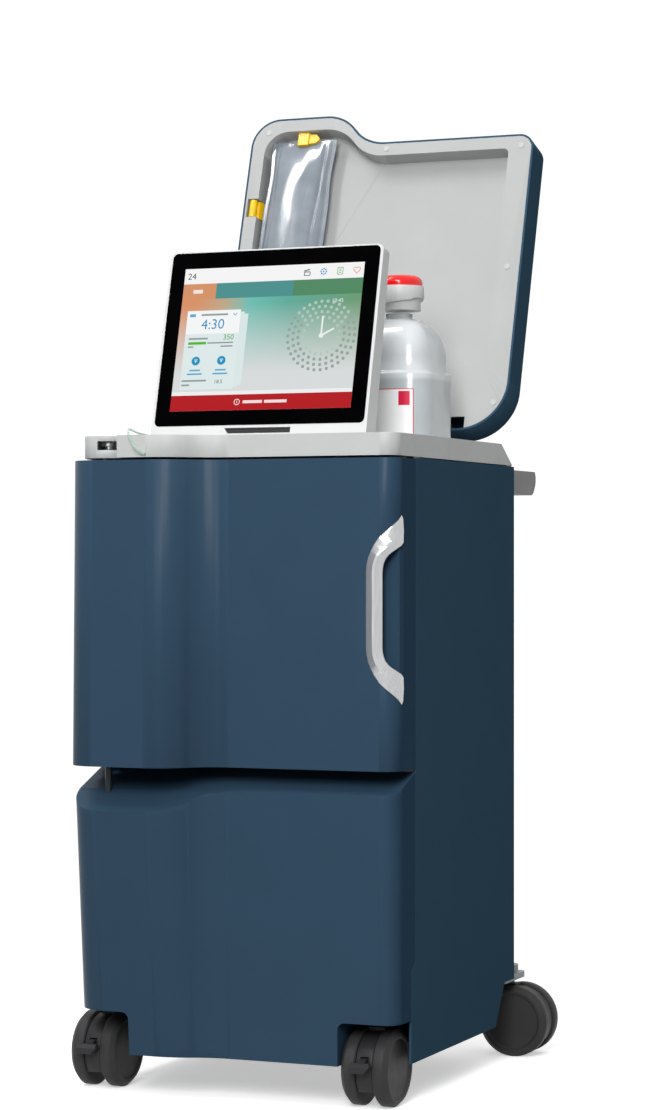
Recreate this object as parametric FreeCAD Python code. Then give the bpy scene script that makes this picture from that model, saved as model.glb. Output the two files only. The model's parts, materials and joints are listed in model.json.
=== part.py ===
import FreeCAD, Part
import math
import os

V = FreeCAD.Vector
AXIS_X = V(1, 0, 0)
AXIS_Y = V(0, 1, 0)
AXIS_Z = V(0, 0, 1)

# Compact haemodialysis console on four twin-wheel casters, lid open, in millimetres.
# X is to the right, Y to the back and Z up from the floor. The outline is drawn about the
# middle of the width, and every piece is moved back by ORIGIN_Y when it is written.

# Cabinet outline in plan: a flat front, and a rounded bulge on the left third
CABINET_WIDTH = 432.0
HALF = CABINET_WIDTH / 2
FRONT_Y = -31.0
REAR_Y = 411.0
BULGE_DEPTH = 46.0
BULGE_Y = FRONT_Y - BULGE_DEPTH
CORNER_LEFT_R = 42.0
CORNER_RIGHT_R = 22.0
STEP_X = -HALF + 161.0
STEP_WIDTH = 94.0
WALL = 3.0
SEAM = 0.6
FIT = 0.05
SEAT = 0.3

# Levels above the floor
SKIRT_Z = 53.0
DOOR_BOTTOM_Z = 418.0
DOOR_TOP_Z = 803.0
DECK_BOTTOM_Z = 806.0
DECK_TOP_Z = 834.0

# Door
DOOR_SIDE_FLAT = 1.0
DOOR_BULGE_DROP = 6.0
DOOR_BACK_Y = BULGE_Y + 2 * CORNER_LEFT_R
DOOR_SWEEP_R = CORNER_LEFT_R + DOOR_SIDE_FLAT + DOOR_BULGE_DROP
DOOR_WRAP_Y = 38.0
DOOR_LINER_THICK = 3.0
DOOR_PIN_R = 6.0
DOOR_PIN_HEAD_R = 10.0
DOOR_PIN_HEAD_Z = 821.5
DOOR_FOOT_PIN_R = 4.5
LUG_R = 30.0
LUG_SLOT_LOW = 816.0
LUG_SLOT_HIGH = 827.5
LUG_SLOT_BACK = 12.0
LIP_END_X = -HALF + 74.0

# Door handle, a bevelled bar that bends round the right front corner
HANDLE_Z = 616.0
HANDLE_X = HALF - 28.0
HANDLE_WIDTH = 22.0
HANDLE_PROUD = 9.0
HANDLE_END_PROUD = 1.6
HANDLE_FLARE = 4.0
HANDLE_STRAIGHT = 46.0
HANDLE_BEND_R = 47.0
HANDLE_BEND_DEG = 55.0
HANDLE_RUN = 34.0
HANDLE_END_Y = -7.0
GRIP_DEPTH = 18.0
GRIP_HALF_HEIGHT = 90.0
GRIP_LEFT_X = HALF - 31.0
GRIP_R = 45.0
GRIP_CHAMFER = 11.0

# Lower cover
COVER_TOP_Z = 413.5
COVER_EDGE_Z = 387.0
COVER_BULGE_Z = 360.5
COVER_WRAP_Y = 36.0
COVER_FOOT_BULGE = 29.0
COVER_FOOT_FRONT = 3.0
WHEEL_NOTCH_X = HALF - 78.0
WHEEL_NOTCH_TOP = 107.0
WHEEL_NOTCH_R = 9.0
WHEEL_WELL_BACK = 74.0
SEAM_JOG_Y = 22.0
SEAM_JOG_LOW = 168.0
SEAM_JOG_HIGH = 180.0

# Rear wheel arch in each side panel
ARCH_FRONT_Y = 336.0
ARCH_BEND_Y = 372.0
ARCH_TOP_Z = 108.5

# Frame inside the cabinet
BASE_Z = 112.0
BASE_THICK = 6.0
POST = 20.0
SHELF_Z = 396.0
SHELF_THICK = 6.0

# Deck
DECK_INSET = 1.5
DECK_REAR_Y = 408.0
DECK_CHAMFER_BACK = 45.0
TROUGH_DEPTH = 4.0
TROUGH_FRONT_Y = 20.0
TROUGH_BACK_Y = 78.0

# Lid, drawn closed and then turned open about its pins
LID_GAP = 3.0
LID_THICK = 52.0
LID_REAR_Y = 405.0
LID_REAR_R = 70.0
LID_OPEN_DEG = 107.0
LID_PIVOT_Y = 394.0
LID_PIVOT_Z = 858.0
LID_EDGE_R = 7.0
LID_PIN_R = 5.0
LID_HINGE_X = HALF - 103.0
LID_BRACKET_WIDTH = 14.0
KNUCKLE_THICK = 6.0
KNUCKLE_GAP = 0.5
POCKET_LEFT = -HALF + 22.0
POCKET_RIGHT = HALF - 36.0
POCKET_RIM = 20.6
POCKET_BACK_Y = 313.0
POCKET_DEPTH = 30.0
POCKET_R = 34.0
LINER = 2.5
PLUG_R = 4.0
PLUG_PROUD = 0.8
CLIP_X = -HALF + 13.0
CLIP_Y = 60.0
CLIP_LENGTH = 26.0
CLIP_R = 5.5
HOOK_X = -HALF + 70.0
HOOK_REACH = 20.0
BAG_WIDTH = 101.0
BAG_LENGTH = 232.0
BAG_CORNER_R = 14.0
BAG_THICK = 26.0
BAG_X = -HALF + 79.0
BAG_TOP_Y = -46.0
BAG_TILT = 1.0

# Touch-screen tablet
TABLET_WIDTH = 300.0
TABLET_HEIGHT = 254.0
TABLET_LEAN = 14.5
TABLET_Y = 35.0
TABLET_TOP_DEPTH = 20.0
TABLET_FOOT_DEPTH = 31.0
TABLET_CORNER_R = 9.0
GLASS_WIDTH = TABLET_WIDTH - 8.0
GLASS_LOW = 16.0
GLASS_HIGH = TABLET_HEIGHT - 2.0
GLASS_THICK = 2.0
GLASS_PROUD = 0.4
SCREEN_WIDTH = 252.0
SCREEN_LOW = 36.0
SCREEN_HIGH = GLASS_HIGH - 22.0
SCREEN_THICK = 0.8
CHIN_SLOT_WIDTH = 92.0
CHIN_SLOT_LOW = 5.0
CHIN_SLOT_HIGH = 12.5
CHIN_SLOT_DEPTH = 7.0
TABLET_PIVOT_DEPTH = 18.0
TABLET_PIVOT_UP = 12.0
TABLET_PIN_R = 4.0
TABLET_POST_X = 70.0
TABLET_POST_WIDTH = 12.0
TABLET_POST_R = 8.0

# Concentrate bottle in its well
BOTTLE_X = HALF - 105.0
BOTTLE_Y = 250.0
BOTTLE_WIDTH = 121.0
BOTTLE_DEPTH = 121.0
BOTTLE_R = 32.0
BOTTLE_FOOT_Z = 752.0
BOTTLE_LEDGE_Z = 924.0
BOTTLE_SHOULDER_Z = 993.0
BOTTLE_DOME = 56.0
BOTTLE_STEP = 5.5
NECK_R = 18.0
NECK_TOP_Z = 1007.0
COLLAR_R = 28.5
COLLAR_RING_R = 33.0
COLLAR_TOP_Z = 1039.0
CAP_R = 31.0
CAP_TOP_Z = 1053.0
WELL_GAP = 3.0
WELL_WALL = 2.5

# Casters
WHEEL_R = 48.0
WHEEL_THICK = 20.0
WHEEL_INNER = 11.0
WHEEL_BEVEL = 6.0
HOOD_WIDTH = 21.0
HOOD_R = 45.0
HOOD_CUT_Z = 22.0
AXLE_R = 5.0
CASTER_TRAIL = 20.0
CASTER_TOP_Z = 104.0
STEM_R = 13.0
PEDAL_WIDTH = 27.0
FRONT_RIGHT_X = HALF - 44.0
FRONT_LEFT_X = -HALF + 14.0
FRONT_WHEEL_Y = 18.0
REAR_SWIVEL_X = HALF - 27.0
REAR_SWIVEL_Y = 451.0

# Push handle behind the deck
PUSH_TOP_Z = 801.0
PUSH_HEIGHT = 33.0
PUSH_REACH = 122.0
PUSH_BAR_DEPTH = 34.0
PUSH_HALF = HALF - 10.0
PUSH_ARM = 24.0

# Treatment bay behind the door
BAY_FRONT_Y = 12.0
BAY_BACK_Y = 112.0
BAY_HALF = HALF - 28.0
BAY_LOW_Z = 426.0
BAY_HIGH_Z = 797.0
BAY_WALL = 3.0
PANEL_Y = 100.0
PANEL_THICK = 6.0
PUMP_X = -BAY_HALF + 118.0
PUMP_Z = 640.0
PUMP_R = 50.0
PUMP_DEPTH = 28.0
SMALL_PUMP_X = PUMP_X + 140.0
SMALL_PUMP_Z = 730.0
SMALL_PUMP_R = 26.0
ROLLER_R = 9.0
DIALYZER_X = BAY_HALF - 38.0
DIALYZER_R = 22.0
DIALYZER_LOW = 470.0
DIALYZER_HIGH = 690.0
DIALYZER_Y = 68.0
CLAMP_Z = 500.0
CLAMP_XS = (PUMP_X - 40.0, PUMP_X + 50.0)
CLAMP_STROKE = 4.0
CHAMBER_XS = (PUMP_X - 80.0, PUMP_X + 90.0)
CHAMBER_Z = 540.0
PORT_ROW_Z = 755.0

# Modules in the lower cabinet
SUPPLY_X = HALF - 156.0
SUPPLY_WIDTH = 120.0
FILTER_X = -HALF + 30.0
FILTER_PITCH = 48.0
FILTER_R = 21.0
FILTER_HEIGHT = 240.0
BOARD_WIDTH = 220.0

# Connections on the back
INLET_X = HALF - 66.0
INLET_Z = 200.0
WATER_X = -HALF + 66.0
DRAIN_X = WATER_X + 55.0
PORT_Z = 190.0
PORT_BODY_R = 14.0
WATER_SPIGOT_R = 9.5
DRAIN_SPIGOT_R = 8.0
SPIGOT_LENGTH = 26.0
SWITCH_PIVOT_R = 2.0
SWITCH_RISE = 20.0

# Thin saline line over the lip, hand-picked points of its route, which is 2.6 mm across
LINE_R = 1.3
LINE_ROUTE = (
    (LIP_END_X - 16.0, 70.0, 837.8),
    (LIP_END_X - 15.9, 51.0, 837.9),
    (LIP_END_X - 10.5, 32.0, 838.6),
    (LIP_END_X - 2.5, -2.0, 838.6),
    (LIP_END_X + 5.5, -34.0, 839.2),
    (LIP_END_X + 12.5, -60.0, 841.2),
    (LIP_END_X + 17.2, -77.0, 841.4),
    (LIP_END_X + 21.2, -85.5, 832.5),
    (LIP_END_X + 27.5, -85.0, 820.0),
    (LIP_END_X + 35.0, -83.5, 811.5),
    (LIP_END_X + 39.5, -74.5, 808.4),
)


def box(x0, x1, y0, y1, z0, z1):
    """Box between two corners."""
    return Part.makeBox(x1 - x0, y1 - y0, z1 - z0, V(x0, y0, z0))


def rod(radius, start, end):
    """Round bar between two points."""
    axis = end - start
    return Part.makeCylinder(radius, axis.Length, start, axis)


def ring(outer, inner, start, end):
    """Round tube between two points."""
    return rod(outer, start, end).cut(rod(inner, start, end))


def prism(points, sweep):
    """Flat polygon swept along a vector."""
    wire = Part.makePolygon([V(*p) for p in points] + [V(*points[0])])
    return Part.Face(wire).extrude(sweep)


def arc(cx, cy, radius, start_deg, end_deg, z):
    """Level arc edge about a centre."""
    angles = (start_deg, (start_deg + end_deg) / 2, end_deg)
    points = []
    for angle in angles:
        turn = math.radians(angle)
        points.append(V(cx + radius * math.cos(turn), cy + radius * math.sin(turn), z))
    return Part.Arc(*points).toShape()


def chain(edges):
    """Close a run of edges with straight lines where one ends away from the next."""
    joined = []
    for index, edge in enumerate(edges):
        joined.append(edge)
        start = edge.Vertexes[-1].Point
        end = edges[(index + 1) % len(edges)].Vertexes[0].Point
        if start.distanceToPoint(end) > 1e-6:
            joined.append(Part.LineSegment(start, end).toShape())
    return Part.Wire(joined)


def plan(z, left, right, bulge, front, back, r_left, r_right, inset=0.0, r_back=0.0):
    """Level outline of the console: bulge on the left, S-curve, flat front, rounded corners."""
    depth = front - bulge
    turn = 2 * math.atan(depth / STEP_WIDTH)
    r_step = STEP_WIDTH / (2 * math.sin(turn))
    turn_deg = math.degrees(turn)
    x_near = STEP_X - STEP_WIDTH / 2
    x_far = STEP_X + STEP_WIDTH / 2
    edges = [
        arc(left + r_left, bulge + r_left, r_left - inset, 180, 270, z),
        arc(x_near, bulge + r_step, r_step - inset, 270, 270 + turn_deg, z),
        arc(x_far, front - r_step, r_step + inset, 90 + turn_deg, 90, z),
        arc(right - r_right, front + r_right, r_right - inset, 270, 360, z),
    ]
    if r_back > 0:
        edges.append(arc(right - r_back, back - r_back, r_back - inset, 0, 90, z))
        edges.append(arc(left + r_back, back - r_back, r_back - inset, 90, 180, z))
    else:
        corner_right = V(right - inset, back - inset, z)
        corner_left = V(left + inset, back - inset, z)
        edges.append(Part.LineSegment(corner_right, corner_left).toShape())
    return chain(edges)


def cabinet_plan(z, bulge, front, back, inset=0.0, r_back=0.0):
    """Outline at the cabinet's full width."""
    return plan(z, -HALF, HALF, bulge, front, back, CORNER_LEFT_R, CORNER_RIGHT_R, inset, r_back)


def raise_plan(wire, height):
    """Upright solid on a level outline."""
    return Part.Face(wire).extrude(V(0, 0, height))


def rounded_slab(x0, x1, y0, y1, z0, z1, radius):
    """Block with its four upright edges rounded."""
    edges = [
        arc(x0 + radius, y0 + radius, radius, 180, 270, z0),
        arc(x1 - radius, y0 + radius, radius, 270, 360, z0),
        arc(x1 - radius, y1 - radius, radius, 0, 90, z0),
        arc(x0 + radius, y1 - radius, radius, 90, 180, z0),
    ]
    return raise_plan(chain(edges), z1 - z0)


def upright_slab(x0, x1, y0, y1, z0, z1, radius):
    """Block with its four front-to-back edges rounded."""
    flat = rounded_slab(x0, x1, z0, z1, 0, y1 - y0, radius)
    flat.rotate(V(0, 0, 0), AXIS_X, 90)
    flat.translate(V(0, y1, 0))
    return flat


def side_prism(points, x0, x1):
    """Polygon given by (y, z) points, swept from x0 to x1."""
    return prism([(x0, y, z) for y, z in points], V(x1 - x0, 0, 0))


def front_prism(points, y0, y1):
    """Polygon given by (x, z) points, swept from y0 to y1."""
    return prism([(x, y0, z) for x, z in points], V(0, y1 - y0, 0))


def hinge_axis():
    """Upright axis of the door, at the centre of the cabinet's left front corner."""
    return -HALF + CORNER_LEFT_R, BULGE_Y + CORNER_LEFT_R


def fuse(shapes):
    """Join solids that touch or overlap into one."""
    first = shapes[0]
    return first.fuse(shapes[1:]).removeSplitter()


# Cabinet frame and panels

def chassis_base():
    """Welded floor tray, with a lip all round."""
    x_in = HALF - WALL
    plate = box(-x_in, x_in, COVER_WRAP_Y + SEAM, REAR_Y - WALL, BASE_Z, BASE_Z + BASE_THICK)
    nose = box(-x_in + 8, x_in - 8, FRONT_Y + 12, COVER_WRAP_Y + SEAM, BASE_Z, BASE_Z + BASE_THICK)
    rails = []
    rail_x = WHEEL_NOTCH_X - 22
    for x in (-rail_x, rail_x):
        rails.append(box(x - 15, x + 15, COVER_WRAP_Y + 10, REAR_Y - 40, BASE_Z - 22, BASE_Z))
    return fuse([plate, nose] + rails)


def frame_post(x, y):
    """Square post from the base to the deck."""
    return box(x, x + POST, y, y + POST, BASE_Z + BASE_THICK, DECK_BOTTOM_Z)


def cabinet_frame():
    """Four posts, a shelf at half height and rails that carry the deck."""
    outer = HALF - WALL
    front = COVER_WRAP_Y + 4
    rear = REAR_Y - WALL - POST
    pieces = []
    for x in (-outer, outer - POST):
        pieces.append(frame_post(x, front))
        pieces.append(frame_post(x, rear))
    shelf = box(-outer, outer, front, rear + POST, SHELF_Z, SHELF_Z + SHELF_THICK)
    rear_rail = box(-outer, outer, rear, rear + POST, DECK_BOTTOM_Z - POST, DECK_BOTTOM_Z)
    axis_x, axis_y = hinge_axis()
    foot_arm = box(axis_x - 14, axis_x + 14, axis_y - 12, front, SHELF_Z - 34, SHELF_Z - 26)
    foot_web = box(axis_x - 14, axis_x + 14, front, front + 6, SHELF_Z - 34, SHELF_Z)
    return fuse(pieces + [shelf, rear_rail, foot_arm, foot_web])


def side_panel(side):
    """Flat side sheet with the rear wheel arch; the left one runs forward to the door's barrel."""
    low_front = COVER_WRAP_Y + SEAM
    high_front = DOOR_WRAP_Y + SEAM
    points = [
        (ARCH_FRONT_Y, SKIRT_Z),
        (ARCH_BEND_Y, ARCH_TOP_Z),
        (REAR_Y, ARCH_TOP_Z),
        (REAR_Y, DECK_BOTTOM_Z - 1.5),
    ]
    if side > 0:
        jog = SEAM_JOG_Y + SEAM
        points += [(high_front, DECK_BOTTOM_Z - 1.5), (high_front, COVER_TOP_Z), (low_front, COVER_TOP_Z)]
        points += [(low_front, SEAM_JOG_HIGH), (jog, SEAM_JOG_LOW), (jog, SKIRT_Z)]
    else:
        barrel_front = hinge_axis()[1] + math.sqrt((DOOR_SWEEP_R + 1) ** 2 - (CORNER_LEFT_R - WALL) ** 2)
        points += [(barrel_front, DECK_BOTTOM_Z - 1.5), (barrel_front, DOOR_BOTTOM_Z)]
        points += [(low_front, DOOR_BOTTOM_Z), (low_front, SKIRT_Z)]
    face = HALF - WALL if side > 0 else -HALF
    sheet = side_prism(points, face, face + WALL)
    return sheet if side > 0 else sheet.cut(wheel_notch(side))


def rear_panel():
    """Back sheet with rows of cooling slots and the holes for the three connections."""
    z_low = BASE_Z + SEAM
    sheet = box(-HALF + WALL, HALF - WALL, REAR_Y - WALL, REAR_Y, z_low, DECK_BOTTOM_Z - 1.5)
    cuts = []
    for row in range(6):
        z = 560.0 + row * 22
        for x in (-90.0, 0.0, 90.0):
            cuts.append(box(x - 36, x + 36, REAR_Y - 2 * WALL, REAR_Y + 1, z, z + 7))
    cuts.append(box(INLET_X - 24, INLET_X + 24, REAR_Y - 2 * WALL, REAR_Y + 1, INLET_Z - 34, INLET_Z + 34))
    for x in (WATER_X, DRAIN_X):
        cuts.append(rod(PORT_BODY_R, V(x, REAR_Y - 2 * WALL, PORT_Z), V(x, REAR_Y + 1, PORT_Z)))
    return sheet.cut(Part.makeCompound(cuts))


def mains_inlet():
    """Appliance inlet with a shrouded socket below and the window of the rocker switch above."""
    body = box(INLET_X - 24, INLET_X + 24, REAR_Y - 40, REAR_Y, INLET_Z - 34, INLET_Z + 34)
    flange = upright_slab(INLET_X - 29, INLET_X + 29, REAR_Y, REAR_Y + 3, INLET_Z - 39, INLET_Z + 39, 5)
    socket_cut = front_prism(
        [
            (INLET_X - 12, INLET_Z - 27),
            (INLET_X + 12, INLET_Z - 27),
            (INLET_X + 12, INLET_Z - 9),
            (INLET_X + 7, INLET_Z - 4),
            (INLET_X - 7, INLET_Z - 4),
            (INLET_X - 12, INLET_Z - 9),
        ],
        REAR_Y - 16,
        REAR_Y + 4,
    )
    switch_z = INLET_Z + SWITCH_RISE
    window = box(INLET_X - 11, INLET_X + 11, REAR_Y - 12, REAR_Y + 4, switch_z - 10, switch_z + 10)
    pins = []
    for x, z in ((-6.5, -13.0), (6.5, -13.0), (0.0, -19.5)):
        pin_z = INLET_Z + z
        pins.append(box(INLET_X + x - 1, INLET_X + x + 1, REAR_Y - 16, REAR_Y - 8, pin_z - 2.5, pin_z + 2.5))
    pivot = rod(SWITCH_PIVOT_R, V(INLET_X - 11, REAR_Y - 3, switch_z), V(INLET_X + 11, REAR_Y - 3, switch_z))
    shell = body.fuse(flange).cut(socket_cut).cut(window)
    return fuse([shell, pivot] + pins)


def power_switch():
    """Rocker that tips about a cross pin in the inlet's window."""
    z = INLET_Z + SWITCH_RISE
    y = REAR_Y - 3
    rocker = side_prism(
        [(y - 5, z - 8), (y + 7.5, z - 9), (y + 5, z), (y + 9.5, z + 8.4), (y - 5, z + 8)],
        INLET_X - 10,
        INLET_X + 10,
    )
    bore = rod(SWITCH_PIVOT_R + FIT, V(INLET_X - 12, y, z), V(INLET_X + 12, y, z))
    return rocker.cut(bore)


def port(x, spigot_r):
    """Panel fitting with a hexagon nut and a barbed spigot out of the back."""
    body = rod(PORT_BODY_R, V(x, REAR_Y - 30, PORT_Z), V(x, REAR_Y, PORT_Z))
    collar = rod(PORT_BODY_R + 4, V(x, REAR_Y, PORT_Z), V(x, REAR_Y + 4, PORT_Z))
    nut = []
    for corner in range(6):
        turn = math.radians(60 * corner)
        nut.append((x + (PORT_BODY_R + 1) * math.cos(turn), PORT_Z + (PORT_BODY_R + 1) * math.sin(turn)))
    nut_solid = front_prism(nut, REAR_Y + 4, REAR_Y + 13)
    start = REAR_Y + 13
    spigot = rod(spigot_r, V(x, start, PORT_Z), V(x, start + SPIGOT_LENGTH, PORT_Z))
    bore = rod(spigot_r - 2.5, V(x, REAR_Y - 20, PORT_Z), V(x, start + SPIGOT_LENGTH + 1, PORT_Z))
    return fuse([body, collar, nut_solid, spigot]).cut(bore)


def water_inlet():
    """Spigot for the water supply hose."""
    return port(WATER_X, WATER_SPIGOT_R)


def drain_outlet():
    """Spigot for the drain hose."""
    return port(DRAIN_X, DRAIN_SPIGOT_R)


def slope_profile(drop):
    """Side view of the lower cover's sloping top, as (y, z) from the bulge to the wrap."""
    return [
        (BULGE_Y - 40, COVER_BULGE_Z - 26 - drop),
        (BULGE_Y, COVER_BULGE_Z - drop),
        (FRONT_Y, COVER_EDGE_Z - drop),
        (COVER_WRAP_Y, COVER_TOP_Z - drop),
        (COVER_WRAP_Y + 60, COVER_TOP_Z - drop),
    ]


def above_slope(drop):
    """Everything over the sloping top."""
    low = slope_profile(drop)
    return side_prism(low + [(COVER_WRAP_Y + 60, 600), (BULGE_Y - 40, 600)], -HALF - 20, HALF + 20)


def cover_block(inset, drop):
    """Solid form of the lower cover, tapering in towards the floor."""
    foot = cabinet_plan(SKIRT_Z - 1, BULGE_Y + COVER_FOOT_BULGE, FRONT_Y + COVER_FOOT_FRONT, COVER_WRAP_Y, inset)
    head = cabinet_plan(COVER_TOP_Z + 8, BULGE_Y - 2, FRONT_Y, COVER_WRAP_Y, inset)
    block = Part.makeLoft([foot, head], True, True)
    return block.cut(above_slope(drop))


def wheel_notch(side):
    """Cut-out in the skirt in front of and beside a front wheel; the left one also frees the side."""
    back = SEAM_JOG_Y if side > 0 else WHEEL_WELL_BACK
    notch = upright_slab(WHEEL_NOTCH_X, HALF + 30, BULGE_Y - 20, back, SKIRT_Z - 40, WHEEL_NOTCH_TOP, WHEEL_NOTCH_R)
    if side < 0:
        notch = notch.mirror(V(0, 0, 0), AXIS_X)
    return notch


def seam_jog():
    """Space that the right side panel's low tongue takes from the cover's wrap."""
    return side_prism(
        [
            (SEAM_JOG_Y, SKIRT_Z - 5),
            (SEAM_JOG_Y, SEAM_JOG_LOW),
            (COVER_WRAP_Y, SEAM_JOG_HIGH),
            (COVER_WRAP_Y + 5, SEAM_JOG_HIGH),
            (COVER_WRAP_Y + 5, SKIRT_Z - 5),
        ],
        HALF - 2 * WALL,
        HALF + 5,
    )


def wheel_well(side):
    """Inner wall, roof and back wall round a front wheel, open below; the caster's riser passes the roof."""
    foot_y = FRONT_Y + COVER_FOOT_FRONT if side > 0 else BULGE_Y + COVER_FOOT_BULGE
    front = foot_y + WALL / 2
    lean = 0.0 if side > 0 else 4.0
    roof = WHEEL_NOTCH_TOP + 2.0
    back = WHEEL_WELL_BACK + SEAM
    outer_x = HALF - WALL - SEAM
    wall = side_prism(
        [(front, SKIRT_Z), (back + 2, SKIRT_Z), (back + 2, roof), (front - lean, roof)],
        WHEEL_NOTCH_X - 2,
        WHEEL_NOTCH_X,
    )
    cap = box(WHEEL_NOTCH_X - 1, outer_x, SEAM_JOG_Y + 1, back + 2, WHEEL_NOTCH_TOP, roof)
    rear = box(WHEEL_NOTCH_X - 1, outer_x, back, back + 2, SKIRT_Z, roof)
    well = fuse([wall, cap, rear])
    if side < 0:
        well = well.mirror(V(0, 0, 0), AXIS_X)
    x = FRONT_RIGHT_X if side > 0 else FRONT_LEFT_X
    y = FRONT_WHEEL_Y + CASTER_TRAIL
    room = box(x - 24, x + 24, y - 8, y + 32, WHEEL_NOTCH_TOP - 1, roof + 1)
    return well.cut(room)


def lower_cover():
    """Moulded cover of the lower front, with its sloping top, two wheel notches and their wells."""
    outer = cover_block(0.0, 0.0)
    inner = cover_block(WALL, WALL)
    inner.translate(V(0, WALL + 1, 0))
    inner = inner.fuse(cover_block(WALL, WALL))
    foot = box(-HALF - 5, HALF + 5, BULGE_Y - 20, COVER_WRAP_Y + 5, SKIRT_Z - 20, SKIRT_Z)
    shell = outer.cut(inner).cut(foot)
    axis_x, axis_y = hinge_axis()
    pin_hole = rod(DOOR_FOOT_PIN_R + SEAT, V(axis_x, axis_y, SHELF_Z - 40), V(axis_x, axis_y, DOOR_BOTTOM_Z))
    shell = shell.cut(wheel_notch(1)).cut(wheel_notch(-1)).cut(seam_jog()).cut(pin_hole)
    return fuse([shell, wheel_well(1), wheel_well(-1)])


# Deck

def deck():
    """Top moulding with the hinge lug, the tablet's trough and the bottle's mouth."""
    axis_x, axis_y = hinge_axis()
    height = DECK_TOP_Z - DECK_BOTTOM_Z
    body = raise_plan(cabinet_plan(DECK_BOTTOM_Z, BULGE_Y, FRONT_Y, DECK_REAR_Y, DECK_INSET), height)
    lug_back = axis_y + math.sqrt((CORNER_LEFT_R + 1.2) ** 2 - (CORNER_LEFT_R - WALL) ** 2)
    corner = box(-HALF - 5, LIP_END_X, BULGE_Y - 10, lug_back, DECK_BOTTOM_Z - 1, DECK_TOP_Z + 1)
    lug = rod(LUG_R, V(axis_x, axis_y, DECK_BOTTOM_Z), V(axis_x, axis_y, DECK_TOP_Z))
    web = box(axis_x - LUG_R, LIP_END_X, axis_y, lug_back, DECK_BOTTOM_Z, DECK_TOP_Z)
    body = fuse([body.cut(corner), lug, web])
    rear = side_prism(
        [
            (DECK_REAR_Y - DECK_CHAMFER_BACK, DECK_TOP_Z),
            (DECK_REAR_Y + 5, DECK_TOP_Z + 1),
            (DECK_REAR_Y + 5, DECK_BOTTOM_Z),
            (DECK_REAR_Y, DECK_BOTTOM_Z),
        ],
        -HALF - 5,
        HALF + 5,
    )
    slot = lug_slot()
    pin = rod(DOOR_PIN_R, V(axis_x, axis_y, DECK_BOTTOM_Z - 1), V(axis_x, axis_y, LUG_SLOT_HIGH))
    half_tablet = TABLET_WIDTH / 2 + 4
    trough = box(-half_tablet, half_tablet, TROUGH_FRONT_Y, TROUGH_BACK_Y, DECK_TOP_Z - TROUGH_DEPTH, DECK_TOP_Z + 1)
    mouth = bottle_space(WELL_GAP, DECK_BOTTOM_Z - 1, DECK_TOP_Z + 1)
    body = body.cut(rear).cut(slot).cut(pin).cut(trough).cut(mouth)
    return body.fuse(line_boss()).cut(line_holes()).removeSplitter()


def lug_slot():
    """Level slot in the hinge lug that shows the pin's head, splayed open to the front."""
    axis_x, axis_y = hinge_axis()
    left = axis_x - DOOR_PIN_HEAD_R - 3.5
    outline = [
        (left, axis_y + LUG_SLOT_BACK),
        (left, axis_y),
        (left + 20, BULGE_Y - 5),
        (LIP_END_X, BULGE_Y - 5),
        (LIP_END_X, axis_y + LUG_SLOT_BACK),
    ]
    return prism([(x, y, LUG_SLOT_LOW) for x, y in outline], V(0, 0, LUG_SLOT_HIGH - LUG_SLOT_LOW))


def line_boss():
    """Low boss on the deck that the saline line comes out of."""
    x, y, z = LINE_ROUTE[0]
    return rounded_slab(x - 6, x + 6, y, y + 12, DECK_TOP_Z - 1, z + LINE_R + 2.5, 3)


def line_holes():
    """Holes that the two ends of the saline line seat in."""
    x, y, z = LINE_ROUTE[0]
    near = rod(LINE_R - 0.5, V(x, y - 1, z), V(x, y + 8, z))
    end = V(*LINE_ROUTE[-1])
    way = end - V(*LINE_ROUTE[-2])
    way.normalize()
    far = rod(LINE_R + 0.8, end - way * 6, end)
    return near.fuse(far)


def bottle_space(gap, z0, z1):
    """Rounded-square prism round the bottle, with a gap on every side."""
    return rounded_slab(
        BOTTLE_X - BOTTLE_WIDTH / 2 - gap,
        BOTTLE_X + BOTTLE_WIDTH / 2 + gap,
        BOTTLE_Y - BOTTLE_DEPTH / 2 - gap,
        BOTTLE_Y + BOTTLE_DEPTH / 2 + gap,
        z0,
        z1,
        BOTTLE_R + gap,
    )


def bottle_well():
    """Thin tub under the deck that the bottle stands in."""
    floor_z = BOTTLE_FOOT_Z - SEAT
    outer = bottle_space(WELL_GAP + WELL_WALL, floor_z - WELL_WALL, DECK_BOTTOM_Z)
    inner = bottle_space(WELL_GAP, floor_z, DECK_BOTTOM_Z + 1)
    flange = bottle_space(WELL_GAP + 12, DECK_BOTTOM_Z - 2, DECK_BOTTOM_Z)
    return fuse([outer, flange]).cut(inner)


# Door

def door_block(inset, top_z, foot_z, back_y, wrap_y):
    """Solid form of the door: front outline, round barrel on the hinge axis, flat back."""
    axis_x, axis_y = hinge_axis()
    head_y = BULGE_Y - DOOR_SIDE_FLAT
    foot = cabinet_plan(foot_z, head_y - DOOR_BULGE_DROP, FRONT_Y, wrap_y, inset)
    head = cabinet_plan(top_z, head_y, FRONT_Y, wrap_y, inset)
    block = Part.makeLoft([foot, head], True, True)
    cavity = box(-HALF - 5, HALF - WALL, back_y, wrap_y + 5, foot_z - 5, top_z + 5)
    left = box(-HALF - 5, axis_x, axis_y, wrap_y + 5, foot_z - 5, top_z + 5)
    barrel = rod(CORNER_LEFT_R - inset, V(axis_x, axis_y, foot_z), V(axis_x, axis_y, top_z))
    return block.cut(cavity).cut(left).fuse(barrel)


def grip_outline(grow, y0, y1, x_end):
    """D-shaped prism of the finger recess, open to the right."""
    half = GRIP_HALF_HEIGHT + grow
    x0 = GRIP_LEFT_X - grow
    return upright_slab(x0, x_end, y0, y1, HANDLE_Z - half, HANDLE_Z + half, GRIP_R + grow)


def grip_cut(grow):
    """Space of the finger recess behind the handle, cut through the door's corner."""
    return grip_outline(grow, FRONT_Y - 20, FRONT_Y + GRIP_DEPTH + grow, HALF + 100)


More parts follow.
